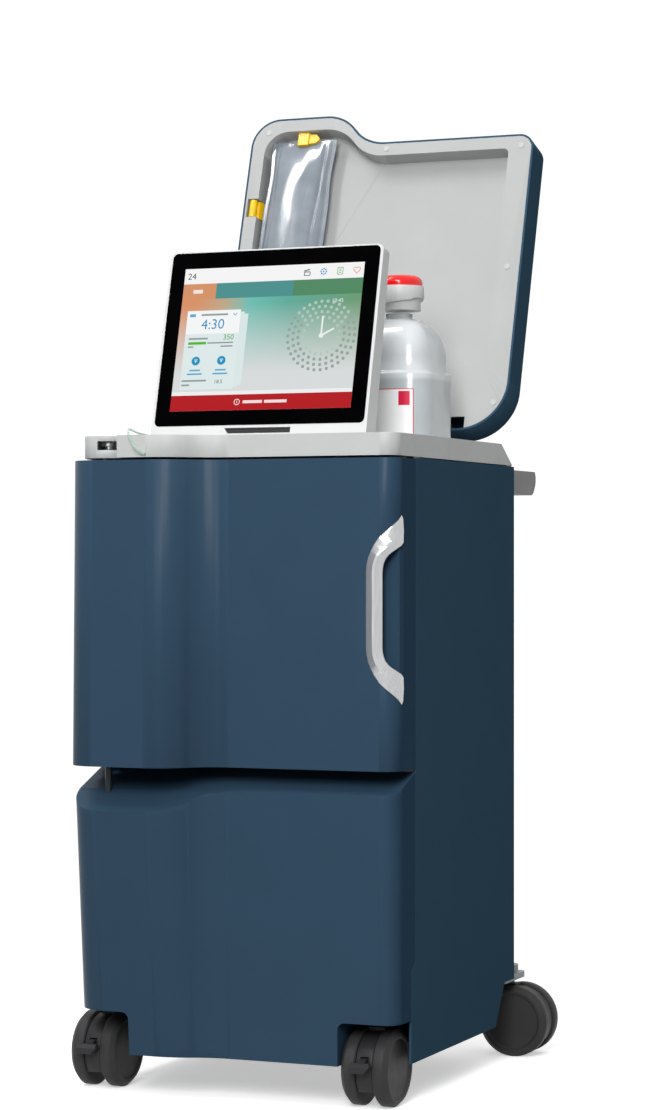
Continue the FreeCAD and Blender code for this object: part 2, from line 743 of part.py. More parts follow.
def grip_chamfer():
    """Slanted edge of the finger recess on the door's right side."""
    y0 = FRONT_Y + GRIP_DEPTH
    y1 = y0 + GRIP_CHAMFER
    outline = [(HALF - 1.6, y0 - 1), (HALF - 1.6, y0), (HALF + 0.4, y1), (HALF + 5, y1), (HALF + 5, y0 - 1)]
    half = GRIP_HALF_HEIGHT - 14
    return prism([(x, y, HANDLE_Z - half) for x, y in outline], V(0, 0, 2 * half))


def door_skin():
    """Painted outer shell of the door, open at the back."""
    outer = door_block(0.0, DOOR_TOP_Z, DOOR_BOTTOM_Z, DOOR_BACK_Y, DOOR_WRAP_Y)
    inner = door_block(WALL, DOOR_TOP_Z - WALL, DOOR_BOTTOM_Z + WALL, DOOR_BACK_Y - DOOR_LINER_THICK, DOOR_WRAP_Y)
    axis_x, axis_y = hinge_axis()
    back = box(axis_x, HALF - 2 * WALL, DOOR_BACK_Y - DOOR_LINER_THICK - 1, DOOR_BACK_Y + 1,
               DOOR_BOTTOM_Z + WALL, DOOR_TOP_Z - WALL)
    shell = outer.cut(inner).cut(back)
    top_hole = rod(DOOR_PIN_R + FIT, V(axis_x, axis_y, DOOR_TOP_Z - 2 * WALL), V(axis_x, axis_y, DOOR_TOP_Z + 1))
    foot_hole = rod(DOOR_FOOT_PIN_R + FIT, V(axis_x, axis_y, DOOR_BOTTOM_Z - 1),
                    V(axis_x, axis_y, DOOR_BOTTOM_Z + 2 * WALL))
    return shell.cut(top_hole).cut(foot_hole).cut(grip_cut(0.0)).cut(grip_chamfer())


def door_liner():
    """Pale inner panel with a raised pressing pad and two long ribs."""
    axis_x, _ = hinge_axis()
    y0 = DOOR_BACK_Y - DOOR_LINER_THICK
    plate = box(axis_x, HALF - 2 * WALL, y0, DOOR_BACK_Y, DOOR_BOTTOM_Z + WALL, DOOR_TOP_Z - WALL)
    plate = plate.cut(grip_cut(WALL))
    dish = upright_slab(axis_x + 44, HALF - 66, y0 + 1, DOOR_BACK_Y + 1, BAY_LOW_Z + 40, BAY_HIGH_Z - 40, 20)
    return plate.cut(dish)


def grip_cup():
    """Blue cup that closes the finger recess inside the door."""
    outer = grip_cut(WALL)
    inner = grip_cut(0.0)
    cup = outer.cut(inner)
    room = door_block(WALL, DOOR_TOP_Z - WALL, DOOR_BOTTOM_Z + WALL, DOOR_BACK_Y, DOOR_WRAP_Y)
    return cup.common(room)


def door_surface(along):
    """Point, sideways direction and outward normal of the door's front, a length along from HANDLE_X."""
    corner_x = HALF - CORNER_RIGHT_R
    flat = corner_x - HANDLE_X
    if along <= flat:
        return V(HANDLE_X + along, FRONT_Y, 0), V(1, 0, 0), V(0, -1, 0)
    turn = min((along - flat) / CORNER_RIGHT_R, math.pi / 2)
    beyond = max(0.0, along - flat - CORNER_RIGHT_R * math.pi / 2)
    side = V(math.cos(turn), math.sin(turn), 0)
    out = V(math.sin(turn), -math.cos(turn), 0)
    centre = V(corner_x, FRONT_Y + CORNER_RIGHT_R, 0)
    return centre + out * CORNER_RIGHT_R + side * beyond, side, out


def handle_path():
    """Middle line of the handle's upper half laid flat, as (along, up, lean)."""
    path = [(0.0, 0.0, 0.0), (0.0, HANDLE_STRAIGHT / 2, 0.0), (0.0, HANDLE_STRAIGHT, 0.0)]
    steps = 6
    for step in range(1, steps + 1):
        lean = math.radians(HANDLE_BEND_DEG) * step / steps
        along = HANDLE_BEND_R * (1 - math.cos(lean))
        path.append((along, HANDLE_STRAIGHT + HANDLE_BEND_R * math.sin(lean), lean))
    along, up, lean = path[-1]
    for step in range(1, 4):
        run = HANDLE_RUN * step / 3
        path.append((along + run * math.sin(lean), up + run * math.cos(lean), lean))
    return path


def handle_section(along, up, lean):
    """Facetted cross-section of the handle, which flattens and widens round the corner."""
    flat = HALF - CORNER_RIGHT_R - HANDLE_X
    share = min(1.0, max(0.0, (along - flat) / (CORNER_RIGHT_R * 1.4)))
    half = HANDLE_WIDTH / 2 + HANDLE_FLARE * share
    proud = HANDLE_PROUD + (HANDLE_END_PROUD - HANDLE_PROUD) * share
    profile = [
        (-half, -5.0),
        (-half, 0.09 * proud),
        (-half + 1.2, 0.28 * proud),
        (0.5, proud),
        (3.5, proud),
        (half - 0.6, 0.26 * proud),
        (half, 0.09 * proud),
        (half, -5.0),
    ]
    point, side, out = door_surface(along)
    across = side * math.cos(lean) - AXIS_Z * math.sin(lean)
    middle = point + AXIS_Z * (HANDLE_Z + up)
    points = [middle + across * offset + out * height for offset, height in profile]
    return Part.makePolygon(points + [points[0]])


def door_handle():
    """Facetted metal bar, lofted along a D-shaped path that wraps round the right corner."""
    upper = Part.makeLoft([handle_section(*spot) for spot in handle_path()], True, True)
    bar = fuse([upper, upper.mirror(V(0, 0, HANDLE_Z), AXIS_Z)])
    body = raise_plan(cabinet_plan(HANDLE_Z - 160, BULGE_Y, FRONT_Y, DOOR_WRAP_Y), 320)
    limit = box(GRIP_LEFT_X - 60, HALF + 40, BULGE_Y - 20, HANDLE_END_Y, HANDLE_Z - 160, HANDLE_Z + 160)
    return bar.cut(body).common(limit)


def door_hinge_pins():
    """Headed pin in the lug above, and a thin pin below the door."""
    axis_x, axis_y = hinge_axis()
    shaft = rod(DOOR_PIN_R, V(axis_x, axis_y, DOOR_TOP_Z - 12), V(axis_x, axis_y, LUG_SLOT_HIGH))
    head = rod(DOOR_PIN_HEAD_R, V(axis_x, axis_y, DOOR_PIN_HEAD_Z), V(axis_x, axis_y, LUG_SLOT_HIGH - SEAT))
    upper = fuse([shaft, head])
    lower = rod(DOOR_FOOT_PIN_R, V(axis_x, axis_y, SHELF_Z - 26), V(axis_x, axis_y, DOOR_BOTTOM_Z + 12))
    return Part.makeCompound([upper, lower])


# Treatment bay

def bay_liner():
    """Open tub behind the door, with a flange that carries the seal."""
    outer = box(-BAY_HALF, BAY_HALF, BAY_FRONT_Y, BAY_BACK_Y, BAY_LOW_Z, BAY_HIGH_Z)
    inner = box(-BAY_HALF + BAY_WALL, BAY_HALF - BAY_WALL, BAY_FRONT_Y - 1, BAY_BACK_Y - BAY_WALL,
                BAY_LOW_Z + BAY_WALL, BAY_HIGH_Z - BAY_WALL)
    flange = box(-HALF + WALL + SEAM, HALF - WALL - SEAM, BAY_FRONT_Y, BAY_FRONT_Y + BAY_WALL,
                 DOOR_BOTTOM_Z + 1, DECK_BOTTOM_Z)
    return fuse([outer, flange]).cut(inner)


def door_seal():
    """Soft frame between the bay's flange and the door's inner panel."""
    y0 = DOOR_BACK_Y + SEAT
    y1 = BAY_FRONT_Y
    outer = upright_slab(-BAY_HALF - 8, BAY_HALF + 8, y0, y1, BAY_LOW_Z - 4, BAY_HIGH_Z + 4, 14)
    inner = upright_slab(-BAY_HALF + 2, BAY_HALF - 2, y0 - 1, y1 + 1, BAY_LOW_Z + 6, BAY_HIGH_Z - 6, 8)
    axis_x, axis_y = hinge_axis()
    sweep = rod(DOOR_SWEEP_R - 1.5, V(axis_x, axis_y, BAY_LOW_Z - 20), V(axis_x, axis_y, BAY_HIGH_Z + 20))
    return outer.cut(inner).cut(sweep)


def pump_panel():
    """Front plate of the pump module, stepped, with seats for the pumps and the clamps."""
    half = BAY_HALF - BAY_WALL
    plate = box(-half, half, PANEL_Y, PANEL_Y + PANEL_THICK, BAY_LOW_Z + BAY_WALL, BAY_HIGH_Z - BAY_WALL)
    step = upright_slab(-half + 12, DIALYZER_X - 50, PANEL_Y - 6, PANEL_Y, CLAMP_Z - 50, BAY_HIGH_Z - 24, 12)
    stop = box(-half, half, PANEL_Y + PANEL_THICK, BAY_BACK_Y - BAY_WALL, 600, 620)
    panel = fuse([plate, step, stop])
    cuts = []
    for x in CLAMP_XS:
        back = PANEL_Y + PANEL_THICK + 1
        cuts.append(rod(5.0 + FIT, V(x, PANEL_Y - 20, CLAMP_Z), V(x, back, CLAMP_Z)))
    return panel.cut(Part.makeCompound(cuts))


def raceway(x, z, radius, depth):
    """Horseshoe wall of a roller pump, open downwards."""
    y1 = PANEL_Y - 6
    outer = upright_slab(x - radius - 16, x + radius + 16, y1 - depth, y1, z - radius * 0.55, z + radius + 16, 14)
    bore = rod(radius + 5, V(x, y1 - depth - 1, z), V(x, y1, z))
    mouth = box(x - radius - 5, x + radius + 5, y1 - depth - 1, y1, z - radius - 20, z)
    stub = rod(6.0, V(x, y1 - depth * 0.5, z), V(x, y1, z))
    return outer.cut(bore).cut(mouth), stub


def pump_raceways():
    """Raceways of the blood pump and the infusion pump, with their fixed shaft stubs."""
    solids = []
    solids += raceway(PUMP_X, PUMP_Z, PUMP_R, PUMP_DEPTH)
    solids += raceway(SMALL_PUMP_X, SMALL_PUMP_Z, SMALL_PUMP_R, PUMP_DEPTH)
    return Part.makeCompound(solids)


def pump_rotor(x, z, radius):
    """Rotor with two rollers, two guide pins and a folding crank on its face."""
    y1 = PANEL_Y - 6 - 1.0
    y0 = y1 - PUMP_DEPTH + 4
    hub = rod(radius * 0.42, V(x, y0, z), V(x, y1, z))
    arm_low = box(x - radius * 0.72, x + radius * 0.72, y0, y0 + 4, z - radius * 0.3, z + radius * 0.3)
    arm_high = box(x - radius * 0.72, x + radius * 0.72, y1 - 4, y1, z - radius * 0.3, z + radius * 0.3)
    roller = min(ROLLER_R, radius * 0.3)
    rollers = []
    for way in (-1, 1):
        cx = x + way * (radius - roller)
        rollers.append(rod(roller, V(cx, y0 + 1, z), V(cx, y1 - 1, z)))
    crank = box(x - 4, x + 4, y0 - 3, y0, z - radius * 0.3, z + radius * 0.3)
    bore = rod(6.0 + FIT, V(x, y1 - PUMP_DEPTH * 0.5 - 1, z), V(x, y1 + 1, z))
    return fuse([hub, arm_low, arm_high, crank] + rollers).cut(bore)


def blood_pump_rotor():
    """Large rotor."""
    return pump_rotor(PUMP_X, PUMP_Z, PUMP_R)


def infusion_pump_rotor():
    """Small rotor."""
    return pump_rotor(SMALL_PUMP_X, SMALL_PUMP_Z, SMALL_PUMP_R)


def line_clamp(x):
    """Plunger of a line clamp with its head, sliding out of the panel against a fixed anvil."""
    stem = rod(5.0, V(x, PANEL_Y - 18, CLAMP_Z), V(x, PANEL_Y + 3, CLAMP_Z))
    head = box(x - 9, x + 9, PANEL_Y - 26, PANEL_Y - 18, CLAMP_Z - 4, CLAMP_Z + 4)
    return fuse([stem, head])


def arterial_clamp():
    """Clamp on the line to the pump."""
    return line_clamp(CLAMP_XS[0])


def venous_clamp():
    """Clamp on the return line."""
    return line_clamp(CLAMP_XS[1])


def dialyzer():
    """Fibre cartridge: clear barrel, wide end caps and side ports."""
    x = DIALYZER_X
    y = DIALYZER_Y
    profile = [
        (0, DIALYZER_LOW - 30),
        (5, DIALYZER_LOW - 30),
        (5, DIALYZER_LOW - 16),
        (DIALYZER_R - 4, DIALYZER_LOW - 14),
        (DIALYZER_R + 3, DIALYZER_LOW - 4),
        (DIALYZER_R + 3, DIALYZER_LOW + 22),
        (DIALYZER_R, DIALYZER_LOW + 24),
        (DIALYZER_R, DIALYZER_HIGH - 24),
        (DIALYZER_R + 3, DIALYZER_HIGH - 22),
        (DIALYZER_R + 3, DIALYZER_HIGH + 4),
        (DIALYZER_R - 4, DIALYZER_HIGH + 14),
        (5, DIALYZER_HIGH + 16),
        (5, DIALYZER_HIGH + 30),
        (0, DIALYZER_HIGH + 30),
    ]
    wire = Part.makePolygon([V(x + r, y, z) for r, z in profile] + [V(x, y, profile[0][1])])
    body = Part.Face(wire).revolve(V(x, y, 0), AXIS_Z, 360)
    ports = []
    for z in (DIALYZER_LOW + 8, DIALYZER_HIGH - 8):
        ports.append(rod(6.0, V(x - DIALYZER_R + 2, y, z), V(x - DIALYZER_R - 18, y, z)))
    return fuse([body] + ports)


def dialyzer_clips():
    """Two spring clips that hold the cartridge to the panel."""
    clips = []
    for z in (DIALYZER_LOW + 60, DIALYZER_HIGH - 60):
        jaw = ring(DIALYZER_R + SEAT + 3, DIALYZER_R + SEAT, V(DIALYZER_X, DIALYZER_Y, z - 8),
                   V(DIALYZER_X, DIALYZER_Y, z + 8))
        mouth = box(DIALYZER_X - 17, DIALYZER_X + 17, DIALYZER_Y - 40, DIALYZER_Y - 6, z - 9, z + 9)
        stem = box(DIALYZER_X - 9, DIALYZER_X + 9, DIALYZER_Y + DIALYZER_R + 1, PANEL_Y, z - 8, z + 8)
        clips.append(fuse([jaw.cut(mouth), stem]))
    return Part.makeCompound(clips)


def drip_chambers():
    """Two clear chambers in holders, and four pressure ports with their collars."""
    solids = []
    z0 = CHAMBER_Z
    for x in CHAMBER_XS:
        y = PANEL_Y - 22
        chamber = rod(11.0, V(x, y, z0), V(x, y, z0 + 70))
        tip = Part.makeCone(4.0, 11.0, 14.0, V(x, y, z0 - 14), AXIS_Z)
        cap = rod(12.5, V(x, y, z0 + 70), V(x, y, z0 + 78))
        holder = box(x - 6, x + 6, y + 10, PANEL_Y - 6, z0 + 25, z0 + 50)
        solids.append(fuse([chamber, tip, cap, holder]))
    for index in range(4):
        x = CHAMBER_XS[0] + 10 + index * 34
        y = PANEL_Y - 6
        collar = ring(9.0, 5.0, V(x, y - 8, PORT_ROW_Z), V(x, y, PORT_ROW_Z))
        solids.append(collar)
    return Part.makeCompound(solids)


# Modules in the lower cabinet

def power_supply():
    """Vented metal box on the base."""
    z0 = BASE_Z + BASE_THICK
    case = box(SUPPLY_X, SUPPLY_X + SUPPLY_WIDTH, 250, REAR_Y - 45, z0, z0 + 90)
    slots = []
    for row in range(5):
        x = SUPPLY_X + 12 + row * 20
        slots.append(box(x, x + 8, 260, 330, z0 + 86, z0 + 91))
    return case.cut(Part.makeCompound(slots))


def control_board():
    """Printed board on four stand-offs under the shelf."""
    x0 = -HALF + 56
    board = box(x0, x0 + BOARD_WIDTH, 120, 280, SHELF_Z - 18, SHELF_Z - 16)
    solids = [board]
    for x in (x0 + 10, x0 + BOARD_WIDTH - 10):
        for y in (130.0, 270.0):
            solids.append(rod(4, V(x, y, SHELF_Z - 16), V(x, y, SHELF_Z)))
    for dx, y, w in ((40.0, 180.0, 30.0), (120.0, 220.0, 22.0), (180.0, 160.0, 18.0)):
        x = x0 + dx
        solids.append(box(x - w / 2, x + w / 2, y - w / 2, y + w / 2, SHELF_Z - 24, SHELF_Z - 18))
    return fuse(solids)


def water_filters():
    """Three canisters of the water purification unit, hung from one head block."""
    z0 = BASE_Z + BASE_THICK
    z1 = z0 + FILTER_HEIGHT
    x0 = FILTER_X
    x1 = FILTER_X + 3 * FILTER_PITCH + 28
    head = box(x0, x1, 300, 360, z1 - 30, z1)
    legs = [box(x0, x0 + 10, 322, 338, z0, z1 - 30), box(x1 - 10, x1, 322, 338, z0, z1 - 30)]
    solids = [head] + legs
    for index in range(3):
        x = (x0 + x1) / 2 + (index - 1) * FILTER_PITCH
        solids.append(rod(FILTER_R, V(x, 330, z0 + 24), V(x, 330, z1 - 29)))
        solids.append(Part.makeCone(FILTER_R - 9, FILTER_R, 12, V(x, 330, z0 + 12), AXIS_Z))
    return fuse(solids)


def dialysate_pump():
    """Pump with its motor lying across, on a foot, and the heater beside it."""
    z0 = BASE_Z + BASE_THICK
    x0 = -HALF + 66
    foot = box(x0, x0 + 110, 110, 190, z0, z0 + 8)
    cradle = box(x0 + 10, x0 + 100, 125, 175, z0 + 8, z0 + 30)
    motor = rod(30, V(x0, 150, z0 + 55), V(x0 + 80, 150, z0 + 55))
    head = rod(36, V(x0 + 80, 150, z0 + 55), V(x0 + 108, 150, z0 + 55))
    heater_x = HALF - 156
    heater = rod(27, V(heater_x, 150, z0), V(heater_x, 150, z0 + 190))
    heater_cap = rod(31, V(heater_x, 150, z0 + 190), V(heater_x, 150, z0 + 204))
    pump = fuse([foot, cradle, motor, head])
    return Part.makeCompound([pump, fuse([heater, heater_cap])])


def cooling_fan():
    """Axial fan behind the slots of the back panel."""
    y1 = REAR_Y - WALL
    x, z, half = 0.0, 632.0, 60.0
    frame = box(x - half, x + half, y1 - 25, y1, z - half, z + half)
    frame = frame.cut(rod(half - 3, V(x, y1 - 26, z), V(x, y1 + 1, z)))
    hub = rod(20, V(x, y1 - 25, z), V(x, y1 - 5, z))
    blades = []
    for index in range(7):
        blade = box(x - 4, x + 4, y1 - 20, y1 - 17, z + 15, z + half - 7)
        blade.rotate(V(x, y1 - 18, z + 35), AXIS_Z, 32)
        blade.rotate(V(x, 0, z), AXIS_Y, 360.0 / 7 * index)
        blades.append(blade)
    struts = []
    for index in range(4):
        strut = box(x - 2.5, x + 2.5, y1 - 8, y1 - 5, z, z + half)
        strut.rotate(V(x, 0, z), AXIS_Y, 45 + 90 * index)
        struts.append(strut)
    return fuse([frame, hub] + blades + struts)


# Lid, drawn closed

def open_lid(shape):
    """Turn a piece of the closed lid to the open position."""
    turned = shape.copy()
    turned.rotate(V(0, LID_PIVOT_Y, LID_PIVOT_Z), AXIS_X, -LID_OPEN_DEG)
    return turned


def rim_z():
    """Level of the closed lid's rim."""
    return DECK_TOP_Z + LID_GAP


def lid_block(inset, z0, z1):
    """Solid on the lid's outline."""
    return raise_plan(cabinet_plan(z0, BULGE_Y, FRONT_Y, LID_REAR_Y, inset, LID_REAR_R), z1 - z0)


def hinge_slots(width, z1):
    """Gaps in the lid's rear wall for the two hinge brackets."""
    slots = []
    for x in (-LID_HINGE_X, LID_HINGE_X):
        slots.append(box(x - width / 2, x + width / 2, LID_REAR_Y - 12, LID_REAR_Y + 5, rim_z() - 1, z1))
    return Part.makeCompound(slots)


def lid_shell():
    """Blue outer shell of the lid, rounded along its top edge."""
    top = rim_z() + LID_THICK
    outer = lid_block(0.0, rim_z(), top)
    crown = []
    for edge in outer.Edges:
        if edge.BoundBox.ZMin > top - 0.01:
            crown.append(edge)
    outer = outer.makeFillet(LID_EDGE_R, crown)
    inner = lid_block(WALL, rim_z() - 1, top - WALL)
    shell = outer.cut(inner).cut(hinge_slots(LID_BRACKET_WIDTH + 3, LID_PIVOT_Z + 16))
    return open_lid(shell)


def pocket_block(grow, z0, z1):
    """Solid on the outline of the liner's pocket."""
    front = FRONT_Y + POCKET_RIM
    wire = plan(z0, POCKET_LEFT, POCKET_RIGHT, front - BULGE_DEPTH, front, POCKET_BACK_Y,
                POCKET_R, 8.0, -grow, 6.0)
    return raise_plan(wire, z1 - z0)


def hinge_notch(x_side):
    """Notch in the liner's rear rim that shows the shell behind it."""
    x0, x1 = sorted((x_side * (LID_HINGE_X - 12), x_side * (LID_HINGE_X + 44)))
    return box(x0, x1, LID_REAR_Y - 20, LID_REAR_Y + 5, rim_z() - 1, LID_PIVOT_Z + 16)


def clip_notch():
    """Notch in the liner's left rim that holds the bag clip's barrel."""
    half = CLIP_LENGTH / 2 + 1
    return box(CLIP_X - CLIP_R - 2, POCKET_LEFT + 1, CLIP_Y - half, CLIP_Y + half, rim_z() - 1, rim_z() + 26)


def lid_liner():
    """Pale inner moulding: flat rim, deep pocket and notches for the hinges and the bag clip."""
    z0 = rim_z()
    z1 = z0 + POCKET_DEPTH
    rim = lid_block(WALL, z0, z0 + LINER)
    cup = pocket_block(LINER, z0, z1 + LINER)
    cut = pocket_block(0.0, z0 - 1, z1)
    half = CLIP_LENGTH / 2 + 1
    clip_box = box(CLIP_X - CLIP_R - 4, POCKET_LEFT, CLIP_Y - half - 2, CLIP_Y + half + 2, z0, z0 + 28)
    liner = fuse([rim, cup, clip_box]).cut(cut).cut(hinge_notch(1)).cut(hinge_notch(-1)).cut(clip_notch())
    axle_y0 = CLIP_Y - half - 2
    axle = rod(2.0, V(CLIP_X, axle_y0, z0 + CLIP_R + 0.5), V(CLIP_X, CLIP_Y + half + 2, z0 + CLIP_R + 0.5))
    return open_lid(fuse([liner, axle]))


def lid_knuckles():
    """Plates on both sides of each bracket that hold the lid on its pins."""
    top = rim_z() + LID_THICK - WALL
    solids = []
    for x in (-LID_HINGE_X, LID_HINGE_X):
        for way in (-1, 1):
            near = x + way * (LID_BRACKET_WIDTH / 2 + KNUCKLE_GAP)
            far = near + way * KNUCKLE_THICK
            x0, x1 = sorted((near, far))
            eye = rod(10.0, V(x0, LID_PIVOT_Y, LID_PIVOT_Z), V(x1, LID_PIVOT_Y, LID_PIVOT_Z))
            plate = box(x0, x1, LID_PIVOT_Y - 10, LID_REAR_Y - WALL, LID_PIVOT_Z, top)
            wall_limit = box(x0 - 1, x1 + 1, LID_PIVOT_Y - 20, LID_REAR_Y - WALL, LID_PIVOT_Z - 20, top)
            bore = rod(LID_PIN_R + FIT, V(x0 - 1, LID_PIVOT_Y, LID_PIVOT_Z), V(x1 + 1, LID_PIVOT_Y, LID_PIVOT_Z))
            solids.append(fuse([eye, plate]).common(wall_limit).cut(bore))
    return open_lid(Part.makeCompound(solids))


def lid_hinge_brackets():
    """Two brackets on the deck's rear slope, each with its pin."""
    solids = []
    for x in (-LID_HINGE_X, LID_HINGE_X):
        x0 = x - LID_BRACKET_WIDTH / 2
        x1 = x + LID_BRACKET_WIDTH / 2
        slope = DECK_REAR_Y - DECK_CHAMFER_BACK
        drop = (DECK_TOP_Z - DECK_BOTTOM_Z) / DECK_CHAMFER_BACK
        y0 = LID_PIVOT_Y - 9
        y1 = LID_PIVOT_Y + 9
        leg = side_prism(
            [
                (y0, DECK_TOP_Z - (y0 - slope) * drop),
                (y1, DECK_TOP_Z - (y1 - slope) * drop),
                (y1, LID_PIVOT_Z),
                (y0, LID_PIVOT_Z),
            ],
            x0,
            x1,
        )
        eye = rod(9.0, V(x0, LID_PIVOT_Y, LID_PIVOT_Z), V(x1, LID_PIVOT_Y, LID_PIVOT_Z))
        reach = LID_BRACKET_WIDTH / 2 + KNUCKLE_GAP + KNUCKLE_THICK + 1
        pin = rod(LID_PIN_R, V(x - reach, LID_PIVOT_Y, LID_PIVOT_Z), V(x + reach, LID_PIVOT_Y, LID_PIVOT_Z))
        solids.append(fuse([leg, eye, pin]))
    return Part.makeCompound(solids)


def lid_screws():
    """Flat plugs over the screws of the liner's rim."""
    solids = []
    pivot_to_rim = LID_PIVOT_Z - rim_z()
    lean = math.radians(LID_OPEN_DEG - 90)
    foot = (LID_PIVOT_Z - DECK_TOP_Z + pivot_to_rim * math.sin(lean)) / math.cos(lean)
    zero = LID_PIVOT_Y + foot
    right = HALF - 20
    left = -HALF + 12
    spots = ((left + 14, 482.0), (-4.0, 446.0), (right + 2, 439.0), (right, 258.0), (right, 60.0), (left, 200.0))
    for x, up in spots:
        y = zero - up
        solids.append(rod(PLUG_R, V(x, y, rim_z() - PLUG_PROUD), V(x, y, rim_z())))
    return open_lid(Part.makeCompound(solids))


def bag_hook():
    """Yellow hook on the pocket's front wall that the bag hangs from."""
    z = rim_z() + 10
    wall_y = FRONT_Y + POCKET_RIM - BULGE_DEPTH
    tip_x = HOOK_X + 17
    base = box(HOOK_X, tip_x, wall_y, wall_y + HOOK_REACH, z - 5, z + 9)
    outline = ((0, 2), (11, 3), (17, 11), (10, 17), (0, 18))
    tip = prism([(tip_x + x, wall_y + y, z - 3) for x, y in outline], V(0, 0, 9))
    return open_lid(fuse([base, tip]))


def bag_clip():
    """Yellow clip that swings on an axle in the left rim; its tab lies behind the bag."""
    z = rim_z() + CLIP_R + 0.5
    half = CLIP_LENGTH / 2
    barrel = rod(CLIP_R, V(CLIP_X, CLIP_Y - half, z), V(CLIP_X, CLIP_Y + half, z))
    arm = prism(
        [
            (CLIP_X, CLIP_Y - half, z + CLIP_R - 2.5),
            (CLIP_X + 8, CLIP_Y - half, z + CLIP_R - 2.5),
            (CLIP_X + 15, CLIP_Y - half, z + CLIP_R + 13),
            (CLIP_X + 34, CLIP_Y - half, z + CLIP_R + 13),
            (CLIP_X + 34, CLIP_Y - half, z + CLIP_R + 15.5),
            (CLIP_X + 13, CLIP_Y - half, z + CLIP_R + 15.5),
            (CLIP_X + 6, CLIP_Y - half, z + CLIP_R),
            (CLIP_X, CLIP_Y - half, z + CLIP_R),
        ],
        V(0, CLIP_LENGTH, 0),
    )
    bore = rod(2.0 + FIT, V(CLIP_X, CLIP_Y - half - 1, z), V(CLIP_X, CLIP_Y + half + 1, z))
    return open_lid(fuse([barrel, arm]).cut(bore))


def saline_bag():
    """Full fluid bag: a pillow with flat welded margins, and its port stub below."""
    z_mid = rim_z() + 12
    y0 = BAG_TOP_Y
    y1 = BAG_TOP_Y + BAG_LENGTH
    margin = 6.0
    x0 = BAG_X - BAG_WIDTH / 2
    x1 = BAG_X + BAG_WIDTH / 2
    rows = []
    for share, fat in ((0.0, 1.5), (0.12, 15.0), (0.45, BAG_THICK - 2), (0.8, BAG_THICK), (0.96, 12.0), (1.0, 1.5)):
        y = y0 + share * (y1 - y0)
        half = fat / 2
        inner = margin + 4
        points = [
            V(x0 + margin, y, z_mid),
            V(x0 + inner + 20, y, z_mid - half),
            V(x1 - inner - 20, y, z_mid - half),
            V(x1 - margin, y, z_mid),
            V(x1 - inner - 20, y, z_mid + half),
            V(x0 + inner + 20, y, z_mid + half),
        ]
        rows.append(Part.makePolygon(points + [points[0]]))
    pillow = Part.makeLoft(rows, True, True)
    sheet = rounded_slab(x0, x1, y0, y1, z_mid - 0.5, z_mid + 0.5, BAG_CORNER_R)
    stub = rod(4.0, V(BAG_X, y1 - 2, z_mid), V(BAG_X, y1 + 22, z_mid))
    bag = fuse([pillow, sheet, stub])
    bag.rotate(V(BAG_X, y0, z_mid), AXIS_Z, BAG_TILT)
    slit_end = FRONT_Y + POCKET_RIM - BULGE_DEPTH + HOOK_REACH
    slit = box(HOOK_X - 4, HOOK_X + 38, y0 - 4, slit_end, z_mid - 6, z_mid + 12)
    return open_lid(bag.cut(slit))


# Tablet, drawn upright with its face on y = 0 and then leaned back

def lean_tablet(shape):
    """Place an upright tablet piece on the deck, leaning back."""
    turned = shape.copy()
    turned.translate(V(0, TABLET_Y, DECK_TOP_Z))
    turned.rotate(V(0, TABLET_Y, DECK_TOP_Z), AXIS_X, -TABLET_LEAN)
    return turned


def tablet_pivot():
    """Place of the tablet's hinge pins, as (y, z)."""
    lean = math.radians(TABLET_LEAN)
    y = TABLET_Y + TABLET_PIVOT_DEPTH * math.cos(lean) + TABLET_PIVOT_UP * math.sin(lean)
    z = DECK_TOP_Z - TABLET_PIVOT_DEPTH * math.sin(lean) + TABLET_PIVOT_UP * math.cos(lean)
    return y, z


def tablet_housing():
    """Wedge-shaped pale housing with a chin slot and notches for the hinge posts."""
    half = TABLET_WIDTH / 2
    block = upright_slab(-half, half, 0, TABLET_FOOT_DEPTH, -30, TABLET_HEIGHT, TABLET_CORNER_R)
    back = side_prism(
        [
            (TABLET_FOOT_DEPTH, -31),
            (TABLET_FOOT_DEPTH, 30),
            (TABLET_TOP_DEPTH, TABLET_HEIGHT),
            (TABLET_TOP_DEPTH, TABLET_HEIGHT + 5),
            (TABLET_FOOT_DEPTH + 10, TABLET_HEIGHT + 5),
            (TABLET_FOOT_DEPTH + 10, -31),
        ],
        -half - 5,
        half + 5,
    )
    seat = upright_slab(-GLASS_WIDTH / 2, GLASS_WIDTH / 2, -1, GLASS_THICK - GLASS_PROUD, GLASS_LOW, GLASS_HIGH, 7)
    slot_half = CHIN_SLOT_WIDTH / 2
    slot = front_prism(
        [
            (-slot_half, CHIN_SLOT_HIGH),
            (-slot_half + 5, CHIN_SLOT_LOW),
            (slot_half, CHIN_SLOT_LOW),
            (slot_half, CHIN_SLOT_HIGH),
        ],
        -1,
        CHIN_SLOT_DEPTH,
    )
    housing = lean_tablet(block.cut(back).cut(seat).cut(slot))
    floor = box(-half - 10, half + 10, -100, 200, DECK_TOP_Z - 60, DECK_TOP_Z + 1.6)
    pivot_y, pivot_z = tablet_pivot()
    cuts = []
    for x in (-TABLET_POST_X, TABLET_POST_X):
        gap = TABLET_POST_WIDTH / 2 + KNUCKLE_GAP
        room = rod(TABLET_POST_R + 2, V(x - gap, pivot_y, pivot_z), V(x + gap, pivot_y, pivot_z))
        well = box(x - gap, x + gap, pivot_y - TABLET_POST_R - 2, pivot_y + 40, pivot_z - 30, pivot_z)
        bore_half = gap + 8
        bore = rod(TABLET_PIN_R + FIT, V(x - bore_half, pivot_y, pivot_z), V(x + bore_half, pivot_y, pivot_z))
        cuts += [room, well, bore]
    return housing.cut(floor).cut(cuts)


